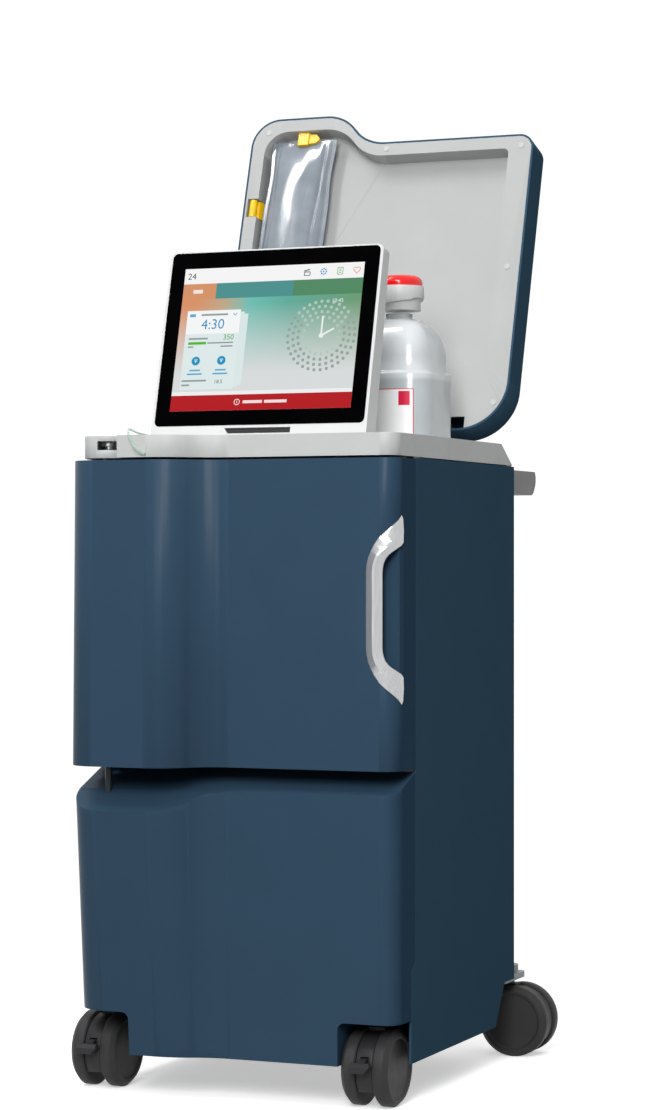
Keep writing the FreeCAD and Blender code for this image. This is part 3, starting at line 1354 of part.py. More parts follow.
def tablet_glass():
    """Black front glass, standing a little proud of the housing."""
    pane = upright_slab(-GLASS_WIDTH / 2, GLASS_WIDTH / 2, -GLASS_PROUD, GLASS_THICK - GLASS_PROUD,
                        GLASS_LOW, GLASS_HIGH, 7)
    screen = box(-SCREEN_WIDTH / 2, SCREEN_WIDTH / 2, -GLASS_PROUD - 1, SCREEN_THICK - GLASS_PROUD,
                 SCREEN_LOW, SCREEN_HIGH)
    return lean_tablet(pane.cut(screen))


def tablet_screen():
    """Lit area of the display, flush with the glass."""
    screen = box(-SCREEN_WIDTH / 2, SCREEN_WIDTH / 2, -GLASS_PROUD, SCREEN_THICK - GLASS_PROUD,
                 SCREEN_LOW, SCREEN_HIGH)
    return lean_tablet(screen)


def tablet_hinge_posts():
    """Two posts in the deck's trough, each with its pin."""
    pivot_y, pivot_z = tablet_pivot()
    solids = []
    for x in (-TABLET_POST_X, TABLET_POST_X):
        x0 = x - TABLET_POST_WIDTH / 2
        x1 = x + TABLET_POST_WIDTH / 2
        leg = box(x0, x1, pivot_y - TABLET_POST_R, pivot_y + TABLET_POST_R, DECK_TOP_Z - TROUGH_DEPTH, pivot_z)
        eye = rod(TABLET_POST_R, V(x0, pivot_y, pivot_z), V(x1, pivot_y, pivot_z))
        reach = TABLET_POST_WIDTH / 2 + 7
        pin = rod(TABLET_PIN_R, V(x - reach, pivot_y, pivot_z), V(x + reach, pivot_y, pivot_z))
        solids.append(fuse([leg, eye, pin]))
    return Part.makeCompound(solids)


# Bottle

def bottle_outline(half_x, half_y, radius, z):
    """Level outline of the bottle as a rounded rectangle."""
    edges = [
        arc(BOTTLE_X - half_x + radius, BOTTLE_Y - half_y + radius, radius, 180, 270, z),
        arc(BOTTLE_X + half_x - radius, BOTTLE_Y - half_y + radius, radius, 270, 360, z),
        arc(BOTTLE_X + half_x - radius, BOTTLE_Y + half_y - radius, radius, 0, 90, z),
        arc(BOTTLE_X - half_x + radius, BOTTLE_Y + half_y - radius, radius, 90, 180, z),
    ]
    return chain(edges)


def bottle_dome():
    """Shoulder that rises from a rounded square to the round neck."""
    wide_x = BOTTLE_WIDTH / 2 - BOTTLE_STEP
    wide_y = BOTTLE_DEPTH / 2 - BOTTLE_STEP
    corner = BOTTLE_R - BOTTLE_STEP
    z0 = BOTTLE_SHOULDER_Z - BOTTLE_DOME
    outlines = [bottle_outline(wide_x, wide_y, corner, BOTTLE_LEDGE_Z - 8)]
    for step in range(6):
        turn = math.radians(15.5 * step)
        share = 1 - math.cos(turn)
        half_x = wide_x + (NECK_R + 1 - wide_x) * share
        half_y = wide_y + (NECK_R + 1 - wide_y) * share
        radius = corner + (NECK_R - corner) * share
        outlines.append(bottle_outline(half_x, half_y, radius, z0 + BOTTLE_DOME * math.sin(turn)))
    return Part.makeLoft(outlines, True, False)


def bottle_body():
    """Rounded-square jug with a ledge, a domed shoulder and a short neck."""
    lower = bottle_space(0.0, BOTTLE_FOOT_Z, BOTTLE_LEDGE_Z)
    rim = []
    for edge in lower.Edges:
        span = edge.BoundBox
        if span.ZMin > BOTTLE_LEDGE_Z - 0.01 or span.ZMax < BOTTLE_FOOT_Z + 0.01:
            rim.append(edge)
    lower = lower.makeFillet(3.5, rim)
    neck = rod(NECK_R, V(BOTTLE_X, BOTTLE_Y, BOTTLE_SHOULDER_Z - 20), V(BOTTLE_X, BOTTLE_Y, NECK_TOP_Z))
    return fuse([lower, bottle_dome(), neck])


def bottle_collar():
    """Grey connector on the neck: a lower ring and a wider ring whose lower edge climbs to the right."""
    middle = V(BOTTLE_X, BOTTLE_Y, NECK_TOP_Z)
    low = rod(COLLAR_R, middle, V(BOTTLE_X, BOTTLE_Y, COLLAR_TOP_Z - 4))
    high = rod(COLLAR_RING_R, middle, V(BOTTLE_X, BOTTLE_Y, COLLAR_TOP_Z))
    ramp = front_prism(
        [
            (BOTTLE_X - 40, NECK_TOP_Z + 4),
            (BOTTLE_X + 24, NECK_TOP_Z + 13),
            (BOTTLE_X + 29, NECK_TOP_Z + 16),
            (BOTTLE_X + 40, NECK_TOP_Z + 16),
            (BOTTLE_X + 40, NECK_TOP_Z - 1),
            (BOTTLE_X - 40, NECK_TOP_Z - 1),
        ],
        BOTTLE_Y - 40,
        BOTTLE_Y + 40,
    )
    return fuse([low, high.cut(ramp)])


def bottle_cap():
    """Red domed knob on the connector."""
    base = rod(CAP_R, V(BOTTLE_X, BOTTLE_Y, COLLAR_TOP_Z), V(BOTTLE_X, BOTTLE_Y, CAP_TOP_Z))
    crown = []
    for edge in base.Edges:
        if edge.BoundBox.ZMin > CAP_TOP_Z - 0.01:
            crown.append(edge)
    return base.makeFillet((CAP_TOP_Z - COLLAR_TOP_Z) * 0.72, crown)


# Casters, drawn about the stem with the wheels trailing towards the front

def place_caster(shape, x, y, turn):
    """Turn a caster piece about its stem and put it in place."""
    placed = shape.copy()
    placed.rotate(V(0, 0, 0), AXIS_Z, turn)
    placed.translate(V(x, y, 0))
    return placed


def wheel(side):
    """One disc of a twin wheel: flat tread, bevelled rim and a dished outer face."""
    inner = WHEEL_INNER + SEAT
    outer = WHEEL_INNER + WHEEL_THICK
    profile = [
        (AXLE_R + FIT, inner),
        (WHEEL_R - 2, inner),
        (WHEEL_R, inner + 2),
        (WHEEL_R, outer - WHEEL_BEVEL),
        (WHEEL_R - WHEEL_BEVEL, outer),
        (WHEEL_R - WHEEL_BEVEL - 3, outer),
        (WHEEL_R - WHEEL_BEVEL - 6, outer - 2.5),
        (AXLE_R + FIT, outer - 2.5),
    ]
    points = [V(side * x, -CASTER_TRAIL, WHEEL_R + r) for r, x in profile]
    wire = Part.makePolygon(points + [points[0]])
    return Part.Face(wire).revolve(V(0, -CASTER_TRAIL, WHEEL_R), AXIS_X, 360)


def wheel_pair():
    """Both discs of one caster, and the hub caps that close them outside."""
    solids = []
    for side in (-1, 1):
        disc = wheel(side)
        start = side * (WHEEL_INNER + WHEEL_THICK - 6.5)
        end = side * (WHEEL_INNER + WHEEL_THICK - 2.5)
        cap = rod(AXLE_R + 6, V(start, -CASTER_TRAIL, WHEEL_R), V(end, -CASTER_TRAIL, WHEEL_R))
        solids.append(fuse([disc, cap]))
    return Part.makeCompound(solids)


def pedal_pivot():
    """Brake pedal's pin in the caster's own frame, as (y, z)."""
    return -CASTER_TRAIL - WHEEL_R + 17, WHEEL_R + 13


def caster_hood(with_pedal):
    """Hood between the discs, with its axle, its stem and, in front, the pedal's slot."""
    x = HOOD_WIDTH / 2
    drum = rod(HOOD_R, V(-x, -CASTER_TRAIL, WHEEL_R), V(x, -CASTER_TRAIL, WHEEL_R))
    floor = box(-x - 1, x + 1, -CASTER_TRAIL - 60, 40, 0, HOOD_CUT_Z)
    neck = box(-x, x, -CASTER_TRAIL, STEM_R - 2, WHEEL_R, 2 * WHEEL_R + 1)
    stem = rod(STEM_R, V(0, 0, 2 * WHEEL_R + 1), V(0, 0, CASTER_TOP_Z - 1))
    reach = WHEEL_INNER + WHEEL_THICK - 6.5 - SEAT
    axle = rod(AXLE_R, V(-reach, -CASTER_TRAIL, WHEEL_R), V(reach, -CASTER_TRAIL, WHEEL_R))
    hood = fuse([drum.cut(floor), neck, stem, axle])
    if with_pedal:
        y, z = pedal_pivot()
        slot = box(-5.5, 5.5, y - 40, y + 7, z - 12, z + 5.5)
        hood = hood.cut(slot)
        hood = hood.fuse(rod(2.5, V(-x, y, z), V(x, y, z)))
    return hood


def brake_pedal_form():
    """Short brake lever: a narrow arm on the pin and a wide tab in front of the wheels."""
    y, z = pedal_pivot()
    front = -CASTER_TRAIL - WHEEL_R
    arm = side_prism([(y + 4, z - 4), (y + 4, z + 4.5), (front - 4, z + 3), (front - 4, z - 10)], -5, 5)
    eye = rod(4.6, V(-5, y, z), V(5, y, z))
    half = PEDAL_WIDTH / 2
    tab = front_prism(
        [(-half, z - 12), (half - 7, z - 12), (half, z - 4), (half - 2, z), (-half, z)],
        front - 15,
        front - 3.5,
    )
    nose = side_prism([(front - 16, z - 5), (front - 7, z + 1), (front - 16, z + 1)], -half - 1, half + 1)
    bore = rod(2.5 + FIT, V(-6, y, z), V(6, y, z))
    return fuse([arm, eye, tab.cut(nose)]).cut(bore)


def front_caster(shape, side):
    """Place a fixed front caster piece."""
    x = FRONT_RIGHT_X if side > 0 else FRONT_LEFT_X
    return place_caster(shape, x, FRONT_WHEEL_Y + CASTER_TRAIL, 0)


def front_caster_hoods():
    """Hoods of the two fixed front casters on their mounting plates."""
    solids = []
    for side in (1, -1):
        hood = front_caster(caster_hood(True), side)
        x = FRONT_RIGHT_X if side > 0 else FRONT_LEFT_X
        y = FRONT_WHEEL_Y + CASTER_TRAIL
        inner = x - 26 if side > 0 else max(x - 26, -HALF + WALL + 0.5)
        outer = min(x + 26, HALF - WALL - 0.5) if side > 0 else x + 26
        plate = box(inner, outer, y - 24, y + 34, CASTER_TOP_Z - 2, CASTER_TOP_Z + 2)
        riser = box(inner + 4, outer - 4, y - 6, y + 30, CASTER_TOP_Z + 2, BASE_Z)
        solids.append(fuse([hood, plate, riser]))
    return Part.makeCompound(solids)


def rear_outriggers():
    """Arms behind the cabinet that carry the rear casters, joined by a rear bumper bar."""
    solids = []
    y0 = REAR_Y - WALL - 40
    y1 = REAR_SWIVEL_Y + STEM_R + 8
    low = CASTER_TOP_Z
    for side in (-1, 1):
        x = side * REAR_SWIVEL_X
        x0, x1 = sorted((side * (HALF - WALL - SEAM), side * (REAR_SWIVEL_X - 32)))
        arm = rounded_slab(x0, x1, REAR_Y - WALL - 30, y1, low, BASE_Z, 9)
        solids.append(arm)
        bush = ring(STEM_R + 5, 8.0 + FIT, V(x, REAR_SWIVEL_Y, low), V(x, REAR_SWIVEL_Y, BASE_Z + 10))
        hole = rod(8.0 + FIT, V(x, REAR_SWIVEL_Y, low - 1), V(x, REAR_SWIVEL_Y, BASE_Z + 11))
        solids[-1] = fuse([arm, bush]).cut(hole)
    bar = box(-REAR_SWIVEL_X + 40, REAR_SWIVEL_X - 40, REAR_Y + 2, REAR_Y + 14, low, BASE_Z)
    ends = []
    for side in (-1, 1):
        x0, x1 = sorted((side * (REAR_SWIVEL_X - 41), side * (REAR_SWIVEL_X - 20)))
        ends.append(box(x0, x1, REAR_Y + 2, REAR_Y + 14, low, BASE_Z))
    return fuse(solids + [bar] + ends)


def rear_swivel_form():
    """Hood of a swivelling caster, with the pin that turns in the outrigger."""
    pin = rod(8.0, V(0, 0, CASTER_TOP_Z - 10), V(0, 0, BASE_Z + 14))
    hood = caster_hood(False)
    return fuse([hood, pin])


def rear_caster(shape, side):
    """Place a rear caster piece, swivelled outwards."""
    return place_caster(shape, side * REAR_SWIVEL_X, REAR_SWIVEL_Y, 90 * side)


# Push handle

def push_handle():
    """Grey grab bar across the back: two arms and a bar with a round lower back."""
    z1 = PUSH_TOP_Z
    z0 = z1 - PUSH_HEIGHT
    y1 = REAR_Y + PUSH_REACH
    y0 = y1 - PUSH_BAR_DEPTH
    section = [V(0, y0, z1), V(0, y1 - 5, z1)]
    nose = Part.Arc(V(0, y1 - 5, z1), V(0, y1 - 1, z1 - 12), V(0, y1 - 6, z0 + 10)).toShape()
    under = Part.Arc(V(0, y1 - 6, z0 + 10), V(0, y1 - 12, z0 + 3), V(0, y1 - 20, z0)).toShape()
    edges = [
        Part.LineSegment(section[0], section[1]).toShape(),
        nose,
        under,
        Part.LineSegment(V(0, y1 - 20, z0), V(0, y0 + 6, z0)).toShape(),
        Part.LineSegment(V(0, y0 + 6, z0), V(0, y0, z1)).toShape(),
    ]
    bar = Part.Face(Part.Wire(edges)).extrude(V(2 * PUSH_HALF, 0, 0))
    bar.translate(V(-PUSH_HALF, 0, 0))
    solids = [bar]
    for side in (-1, 1):
        x0, x1 = sorted((side * PUSH_HALF, side * (PUSH_HALF - PUSH_ARM)))
        solids.append(box(x0, x1, REAR_Y, y0 + 8, z0, z1))
    return fuse(solids)


# Saline line

def route_points():
    """Points of the saline line's route."""
    return [V(*point) for point in LINE_ROUTE]


def route_wire(points):
    """Straight runs joined by tangent arcs, each as large as its two runs allow."""
    edges = []
    radii = []
    last = points[0]
    for index in range(1, len(points) - 1):
        before = points[index] - points[index - 1]
        after = points[index + 1] - points[index]
        turn = before.getAngle(after)
        cut = 0.45 * min(before.Length, after.Length)
        radius = cut / math.tan(turn / 2)
        radii.append(radius)
        start = points[index] - before.normalize() * cut
        end = points[index] + after.normalize() * cut
        bisector = (end - points[index]) + (start - points[index])
        bisector.normalize()
        middle = points[index] + bisector * (radius / math.cos(turn / 2) - radius)
        edges.append(Part.LineSegment(last, start).toShape())
        edges.append(Part.Arc(start, middle, end).toShape())
        last = end
    edges.append(Part.LineSegment(last, points[-1]).toShape())
    return Part.Wire(edges), radii


def saline_line():
    """Thin clear tube from the boss on the deck, over the lip and into the lip's lower edge."""
    points = route_points()
    wire, radii = route_wire(points)
    print("saline line radii", [round(radius, 1) for radius in radii])
    circle = Part.Wire(Part.makeCircle(LINE_R, points[0], points[1] - points[0]))
    pipe = wire.makePipeShell([circle], True, False)
    print("saline line length", round(wire.Length, 1), "volume ratio",
          round(pipe.Volume / (math.pi * LINE_R ** 2 * wire.Length), 4))
    return pipe


PARTS = {
    "chassis_base": chassis_base,
    "cabinet_frame": cabinet_frame,
    "side_panel_left": lambda: side_panel(-1),
    "side_panel_right": lambda: side_panel(1),
    "rear_panel": rear_panel,
    "mains_inlet": mains_inlet,
    "power_switch": power_switch,
    "water_inlet": water_inlet,
    "drain_outlet": drain_outlet,
    "lower_cover": lower_cover,
    "deck": deck,
    "bottle_well": bottle_well,
    "door_skin": door_skin,
    "door_liner": door_liner,
    "grip_cup": grip_cup,
    "door_handle": door_handle,
    "door_hinge_pins": door_hinge_pins,
    "bay_liner": bay_liner,
    "door_seal": door_seal,
    "pump_panel": pump_panel,
    "pump_raceways": pump_raceways,
    "blood_pump_rotor": blood_pump_rotor,
    "infusion_pump_rotor": infusion_pump_rotor,
    "arterial_clamp": arterial_clamp,
    "venous_clamp": venous_clamp,
    "dialyzer": dialyzer,
    "dialyzer_clips": dialyzer_clips,
    "drip_chambers": drip_chambers,
    "power_supply": power_supply,
    "control_board": control_board,
    "water_filters": water_filters,
    "dialysate_pump": dialysate_pump,
    "cooling_fan": cooling_fan,
    "lid_shell": lid_shell,
    "lid_liner": lid_liner,
    "lid_knuckles": lid_knuckles,
    "lid_hinge_brackets": lid_hinge_brackets,
    "lid_screws": lid_screws,
    "bag_hook": bag_hook,
    "bag_clip": bag_clip,
    "saline_bag": saline_bag,
    "tablet_housing": tablet_housing,
    "tablet_glass": tablet_glass,
    "tablet_screen": tablet_screen,
    "tablet_hinge_posts": tablet_hinge_posts,
    "bottle_body": bottle_body,
    "bottle_collar": bottle_collar,
    "bottle_cap": bottle_cap,
    "front_caster_hoods": front_caster_hoods,
    "front_right_wheels": lambda: front_caster(wheel_pair(), 1),
    "front_left_wheels": lambda: front_caster(wheel_pair(), -1),
    "front_right_pedal": lambda: front_caster(brake_pedal_form(), 1),
    "front_left_pedal": lambda: front_caster(brake_pedal_form(), -1),
    "rear_outriggers": rear_outriggers,
    "rear_right_swivel": lambda: rear_caster(rear_swivel_form(), 1),
    "rear_left_swivel": lambda: rear_caster(rear_swivel_form(), -1),
    "rear_right_wheels": lambda: rear_caster(wheel_pair(), 1),
    "rear_left_wheels": lambda: rear_caster(wheel_pair(), -1),
    "push_handle": push_handle,
    "saline_line": saline_line,
}


def origin_y(shapes):
    """Middle of the console from its foremost to its rearmost point."""
    front = shapes["door_skin"].optimalBoundingBox(False).YMin
    rear = shapes["lid_shell"].optimalBoundingBox(False).YMax
    return (front + rear) / 2


def build():
    """Make every piece, with the origin on the floor at the middle of the footprint."""
    shapes = {name: make() for name, make in PARTS.items()}
    shift = origin_y(shapes)
    for shape in shapes.values():
        shape.translate(V(0, -shift, 0))
    return shapes, shift


def write(shapes):
    """Write one STEP file per piece."""
    os.makedirs("parts", exist_ok=True)
    for name, shape in shapes.items():
        shape.exportStep("parts/" + name + ".step")


SHAPES, ORIGIN_Y = build()
write(SHAPES)
print("origin y", round(ORIGIN_Y, 4))
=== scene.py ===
import bmesh
import bpy
import json
import math
from mathutils import Matrix, Vector, noise


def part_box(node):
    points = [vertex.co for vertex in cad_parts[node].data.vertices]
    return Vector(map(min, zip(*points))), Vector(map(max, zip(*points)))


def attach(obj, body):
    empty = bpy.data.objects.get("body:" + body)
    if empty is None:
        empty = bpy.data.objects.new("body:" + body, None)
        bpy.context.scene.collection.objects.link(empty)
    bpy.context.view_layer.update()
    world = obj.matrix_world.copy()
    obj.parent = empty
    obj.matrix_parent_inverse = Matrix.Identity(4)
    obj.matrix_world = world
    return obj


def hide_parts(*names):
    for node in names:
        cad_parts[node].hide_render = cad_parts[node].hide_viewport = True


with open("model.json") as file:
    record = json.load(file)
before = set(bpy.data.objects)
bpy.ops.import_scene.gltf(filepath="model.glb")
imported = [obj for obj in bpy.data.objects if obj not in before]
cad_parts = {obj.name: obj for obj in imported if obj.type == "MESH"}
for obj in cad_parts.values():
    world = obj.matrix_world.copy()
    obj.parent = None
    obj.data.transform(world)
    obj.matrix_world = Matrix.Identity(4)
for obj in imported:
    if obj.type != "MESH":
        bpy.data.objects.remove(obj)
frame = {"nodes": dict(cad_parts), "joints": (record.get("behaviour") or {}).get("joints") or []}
nodes = frame["nodes"]
joints = {joint["name"]: joint for joint in frame["joints"]}
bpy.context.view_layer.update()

# Drawing frame: x to the right, y to the back from the drawing's own zero, z up, in millimetres
MM = 0.001
HINGE_DRAWN_Y = -35.0
ORIGIN_Y = HINGE_DRAWN_Y - joints["door_hinge"]["pos_m"][1] / MM
TABLET_LEAN = math.radians(14.5)
TABLET_FOOT = (0.0, 35.0, 834.0)
GLASS_PROUD = 0.4
SCREEN_WIDTH = 252.0
SCREEN_LOW = 36.0
SCREEN_HIGH = 230.0
SCREEN_GLOW = 0.92
CHIN_HALF = 46.0
CHIN_LOW = 5.0
CHIN_HIGH = 12.5
CHIN_DEPTH = 7.0
CHIN_SLANT = 5
CHIN_GAP = 0.4
CHIN_SET_BACK = 1.5
LID_OPEN = math.radians(107.0)
LID_RIM_Z = 837.0
LIQUID_Z = 915.0
# Below this height the door's pin is painted dark grey as shade instead of polished steel
PIN_SHADE_SPLIT_Z = 600.0
WRAP_START_X = 204.0
WRAP_END_X = 212.0
NAVY_GLOSS = 0.065

# Studio
AMBIENT_LOW = 0.20
AMBIENT_HIGH = 0.95
FLOOR_SHADE = 1.0
FLOOR_LIFT = 0.47
FLOOR_BOUNCE = 0.22
SHADOW_REACH = 0.42
WHITE_REACH = 0.80
WHITE = 1.05

# Camera, from the photograph's perspective
CAMERA_PLACE = (1516.0, -3344.0, 672.4)
CAMERA_TURN = math.radians(22.8)
PHOTO_HEIGHT = 1110.0
FOCAL_PIXELS = 2915.0
SENSOR = 36.0
HORIZON_DROP = 9.0


def at(x, y, z):
    """Point of the drawing frame in the row frame, in metres."""
    return Vector((x, y - ORIGIN_Y, z)) * MM


def srgb(red, green, blue):
    """Linear colour of a colour written in 0 to 255."""
    linear = []
    for value in (red, green, blue):
        share = value / 255
        linear.append(share / 12.92 if share <= 0.04045 else ((share + 0.055) / 1.055) ** 2.4)
    return (*linear, 1.0)


# Node helpers

def new_material(name):
    """Empty principled material, with its tree and its shader."""
    material = bpy.data.materials.new(name)
    material.use_nodes = True
    tree = material.node_tree
    return material, tree, tree.nodes["Principled BSDF"]


def add(tree, kind, **values):
    """Node with its properties and its unlinked inputs set."""
    node = tree.nodes.new(kind)
    for key, value in values.items():
        if hasattr(node, key):
            setattr(node, key, value)
        else:
            node.inputs[key.replace("_", " ")].default_value = value
    return node


def place(tree):
    """Object coordinates, which are metres in the row frame."""
    return add(tree, "ShaderNodeTexCoord").outputs["Object"]


def grain(tree, scale, detail=3.0, stretch=None):
    """Noise over the object, finer with a larger scale; stretch squeezes it per axis."""
    source = place(tree)
    if stretch:
        mapping = add(tree, "ShaderNodeMapping")
        mapping.inputs["Scale"].default_value = stretch
        tree.links.new(source, mapping.inputs["Vector"])
        source = mapping.outputs["Vector"]
    texture = add(tree, "ShaderNodeTexNoise", Scale=scale, Detail=detail)
    tree.links.new(source, texture.inputs["Vector"])
    return texture.outputs["Fac"]


def between(tree, factor, low, high):
    """Value that runs from low to high over the middle of a noise."""
    node = add(tree, "ShaderNodeMapRange")
    node.inputs["From Min"].default_value = 0.3
    node.inputs["From Max"].default_value = 0.7
    node.inputs["To Min"].default_value = low
    node.inputs["To Max"].default_value = high
    tree.links.new(factor, node.inputs["Value"])
    return node.outputs["Result"]


def tinted(tree, factor, dark, light):
    """Colour that runs between two colours with a noise."""
    node = add(tree, "ShaderNodeMix", data_type="RGBA")
    tree.links.new(between(tree, factor, 0.0, 1.0), node.inputs["Factor"])
    node.inputs["A"].default_value = dark
    node.inputs["B"].default_value = light
    return node.outputs["Result"]


def rough_bump(tree, shader, height, distance, strength=1.0):
    """Bump from a height, with its depth in metres."""
    bump = add(tree, "ShaderNodeBump", Strength=strength, Distance=distance)
    tree.links.new(height, bump.inputs["Height"])
    tree.links.new(bump.outputs["Normal"], shader.inputs["Normal"])


def moulded(name, colour, rough, grain_scale=2600.0, grain_depth=0.00002,
            spread=0.04, level=0.4, uneven=0.05):
    """Moulded or painted surface: slight mottling, uneven gloss and a fine grain."""
    material, tree, shader = new_material(name)
    red, green, blue = colour
    low = srgb(red * (1 - spread), green * (1 - spread), blue * (1 - spread))
    high = srgb(*(min(255, value * (1 + spread)) for value in (red, green, blue)))
    tree.links.new(tinted(tree, grain(tree, 14.0, 4.0), low, high), shader.inputs["Base Color"])
    gloss = between(tree, grain(tree, 60.0), rough - uneven, rough + uneven)
    tree.links.new(gloss, shader.inputs["Roughness"])
    shader.inputs["Specular IOR Level"].default_value = level
    rough_bump(tree, shader, grain(tree, grain_scale, 2.0), grain_depth)
    return material


def navy_paint():
    """Satin blue of the front, matt where it wraps round to the side sheets."""
    material = moulded("navy_paint", (48, 71, 91), 0.31, 1500.0, 0.000006, 0.012, 0.0, 0.015)
    tree = material.node_tree
    split = add(tree, "ShaderNodeSeparateXYZ")
    tree.links.new(place(tree), split.inputs["Vector"])
    wrap = add(tree, "ShaderNodeMapRange")
    wrap.inputs["From Min"].default_value = WRAP_START_X * MM
    wrap.inputs["From Max"].default_value = WRAP_END_X * MM
    wrap.inputs["To Min"].default_value = NAVY_GLOSS
    wrap.inputs["To Max"].default_value = 0.0
    tree.links.new(split.outputs["X"], wrap.inputs["Value"])
    tree.links.new(wrap.outputs["Result"], tree.nodes["Principled BSDF"].inputs["Specular IOR Level"])
    return material


def navy_side_paint():
    """The same blue on the flat side sheets, a little duller."""
    return moulded("navy_side_paint", (56, 83, 103), 0.5, 1800.0, 0.00001, 0.012, 0.0, 0.02)


def pale_moulding():
    """Pale grey plastic with a fine spark-eroded grain."""
    return moulded("pale_moulding", (191, 193, 192), 0.48, 3200.0, 0.00003, 0.012, 0.25)


def liner_moulding():
    """Pale grey of the lid's liner."""
    return moulded("liner_moulding", (177, 179, 178), 0.5, 3200.0, 0.00003, 0.010, 0.25, 0.03)


def tablet_moulding():
    """Pale grey of the screen's housing, a little lighter than the deck."""
    return moulded("tablet_moulding", (210, 211, 211), 0.42, 3200.0, 0.00002, 0.010, 0.25, 0.03)


def push_moulding():
    """Darker grey of the bar at the back."""
    return moulded("push_moulding", (112, 112, 113), 0.46, 2400.0, 0.00003, 0.02, 0.35, 0.03)


def pin_steel_and_painted_shade():
    """Polished steel of the door's upper pin; the lower pin is painted dark grey as shade, so that it reads
    as part of the shaded gap below the door.
    """
    material, tree, shader = new_material("pin_steel_and_painted_shade")
    split = add(tree, "ShaderNodeSeparateXYZ")
    tree.links.new(place(tree), split.inputs["Vector"])
    upper = add(tree, "ShaderNodeMath", operation="GREATER_THAN")
    upper.inputs[1].default_value = PIN_SHADE_SPLIT_Z * MM
    tree.links.new(split.outputs["Z"], upper.inputs[0])
    smudge = grain(tree, 120.0)
    colour = add(tree, "ShaderNodeMix", data_type="RGBA")
    tree.links.new(upper.outputs[0], colour.inputs["Factor"])
    # Painted shade: the lower pin's dark grey stands in for the shade in the gap below the door
    colour.inputs["A"].default_value = srgb(44, 52, 60)
    tree.links.new(tinted(tree, smudge, srgb(206, 208, 211), srgb(224, 226, 228)), colour.inputs["B"])
    tree.links.new(colour.outputs["Result"], shader.inputs["Base Color"])
    tree.links.new(upper.outputs[0], shader.inputs["Metallic"])
    tree.links.new(between(tree, smudge, 0.10, 0.22), shader.inputs["Roughness"])
    shader.inputs["Specular IOR Level"].default_value = 0.2
    return material


def mid_moulding():
    """Middle grey plastic."""
    return moulded("mid_moulding", (128, 132, 134), 0.5, 3000.0, 0.00003, 0.02)


def collar_moulding():
    """Grey plastic of the bottle's connector."""
    return moulded("collar_moulding", (210, 211, 210), 0.36, 2600.0, 0.00002, 0.015)


def dark_moulding():
    """Near-black plastic of the caster hoods and fittings."""
    return moulded("dark_moulding", (38, 38, 40), 0.5, 2600.0, 0.00004, 0.05, 0.25)


def wheel_tread():
    """Dark rubber-like wheel, scuffed."""
    return moulded("wheel_tread", (48, 48, 49), 0.58, 1800.0, 0.00006, 0.08, 0.25)


def seal_rubber():
    """Black soft seal."""
    return moulded("seal_rubber", (30, 30, 31), 0.7, 2200.0, 0.00006, 0.08, 0.3)


def powder_coat():
    """Grey powder-coated steel with its orange-peel skin."""
    return moulded("powder_coat", (142, 146, 149), 0.45, 900.0, 0.00005, 0.03)


def white_moulding():
    """Off-white plastic of the rollers and canisters."""
    return moulded("white_moulding", (226, 226, 220), 0.42, 2600.0, 0.00002, 0.015)


def board_laminate():
    """Green circuit board with fine lines of tracks."""
    material, tree, shader = new_material("board_laminate")
    tracks = add(tree, "ShaderNodeTexBrick", Scale=90.0)
    tracks.inputs["Color1"].default_value = srgb(22, 92, 52)
    tracks.inputs["Color2"].default_value = srgb(28, 104, 60)
    tracks.inputs["Mortar"].default_value = srgb(64, 138, 84)
    tree.links.new(place(tree), tracks.inputs["Vector"])
    tree.links.new(tracks.outputs["Color"], shader.inputs["Base Color"])
    shader.inputs["Roughness"].default_value = 0.35
    rough_bump(tree, shader, tracks.outputs["Fac"], 0.00005)
    return material


def satin_metal():
    """Satin nickel of the handle, with a fine lengthwise brushing."""
    material, tree, shader = new_material("satin_metal")
    brushing = grain(tree, 900.0, 2.0, (1.0, 1.0, 0.04))
    colour = tinted(tree, brushing, srgb(184, 185, 186), srgb(198, 199, 200))
    tree.links.new(colour, shader.inputs["Base Color"])
    tree.links.new(between(tree, brushing, 0.34, 0.37), shader.inputs["Roughness"])
    shader.inputs["Metallic"].default_value = 1.0
    rough_bump(tree, shader, brushing, 0.000002)
    return material


def black_glass():
    """Black front glass with faint smears."""
    material, tree, shader = new_material("black_glass")
    smear = grain(tree, 22.0, 5.0)
    tree.links.new(tinted(tree, smear, srgb(2, 2, 3), srgb(5, 5, 6)), shader.inputs["Base Color"])
    tree.links.new(between(tree, smear, 0.06, 0.16), shader.inputs["Roughness"])
    shader.inputs["Specular IOR Level"].default_value = 0.002
    return material


def bright_plastic(name, colour, rough=0.24):
    """Glossy coloured plastic."""
    material, tree, shader = new_material(name)
    red, green, blue = colour
    cloud = grain(tree, 60.0)
    dark = srgb(red * 0.93, green * 0.93, blue * 0.93)
    tree.links.new(tinted(tree, cloud, dark, srgb(red, green, blue)), shader.inputs["Base Color"])
    tree.links.new(between(tree, cloud, rough - 0.05, rough + 0.05), shader.inputs["Roughness"])
    rough_bump(tree, shader, grain(tree, 1800.0), 0.000008)
    return material


def see_through(tree, shader, material, share):
    """Let a share of the light pass straight through a thin wall."""
    clear = add(tree, "ShaderNodeBsdfTransparent")
    mixed = add(tree, "ShaderNodeMixShader")
    mixed.inputs["Fac"].default_value = share
    tree.links.new(shader.outputs[0], mixed.inputs[1])
    tree.links.new(clear.outputs[0], mixed.inputs[2])
    tree.links.new(mixed.outputs[0], tree.nodes["Material Output"].inputs["Surface"])
    return material


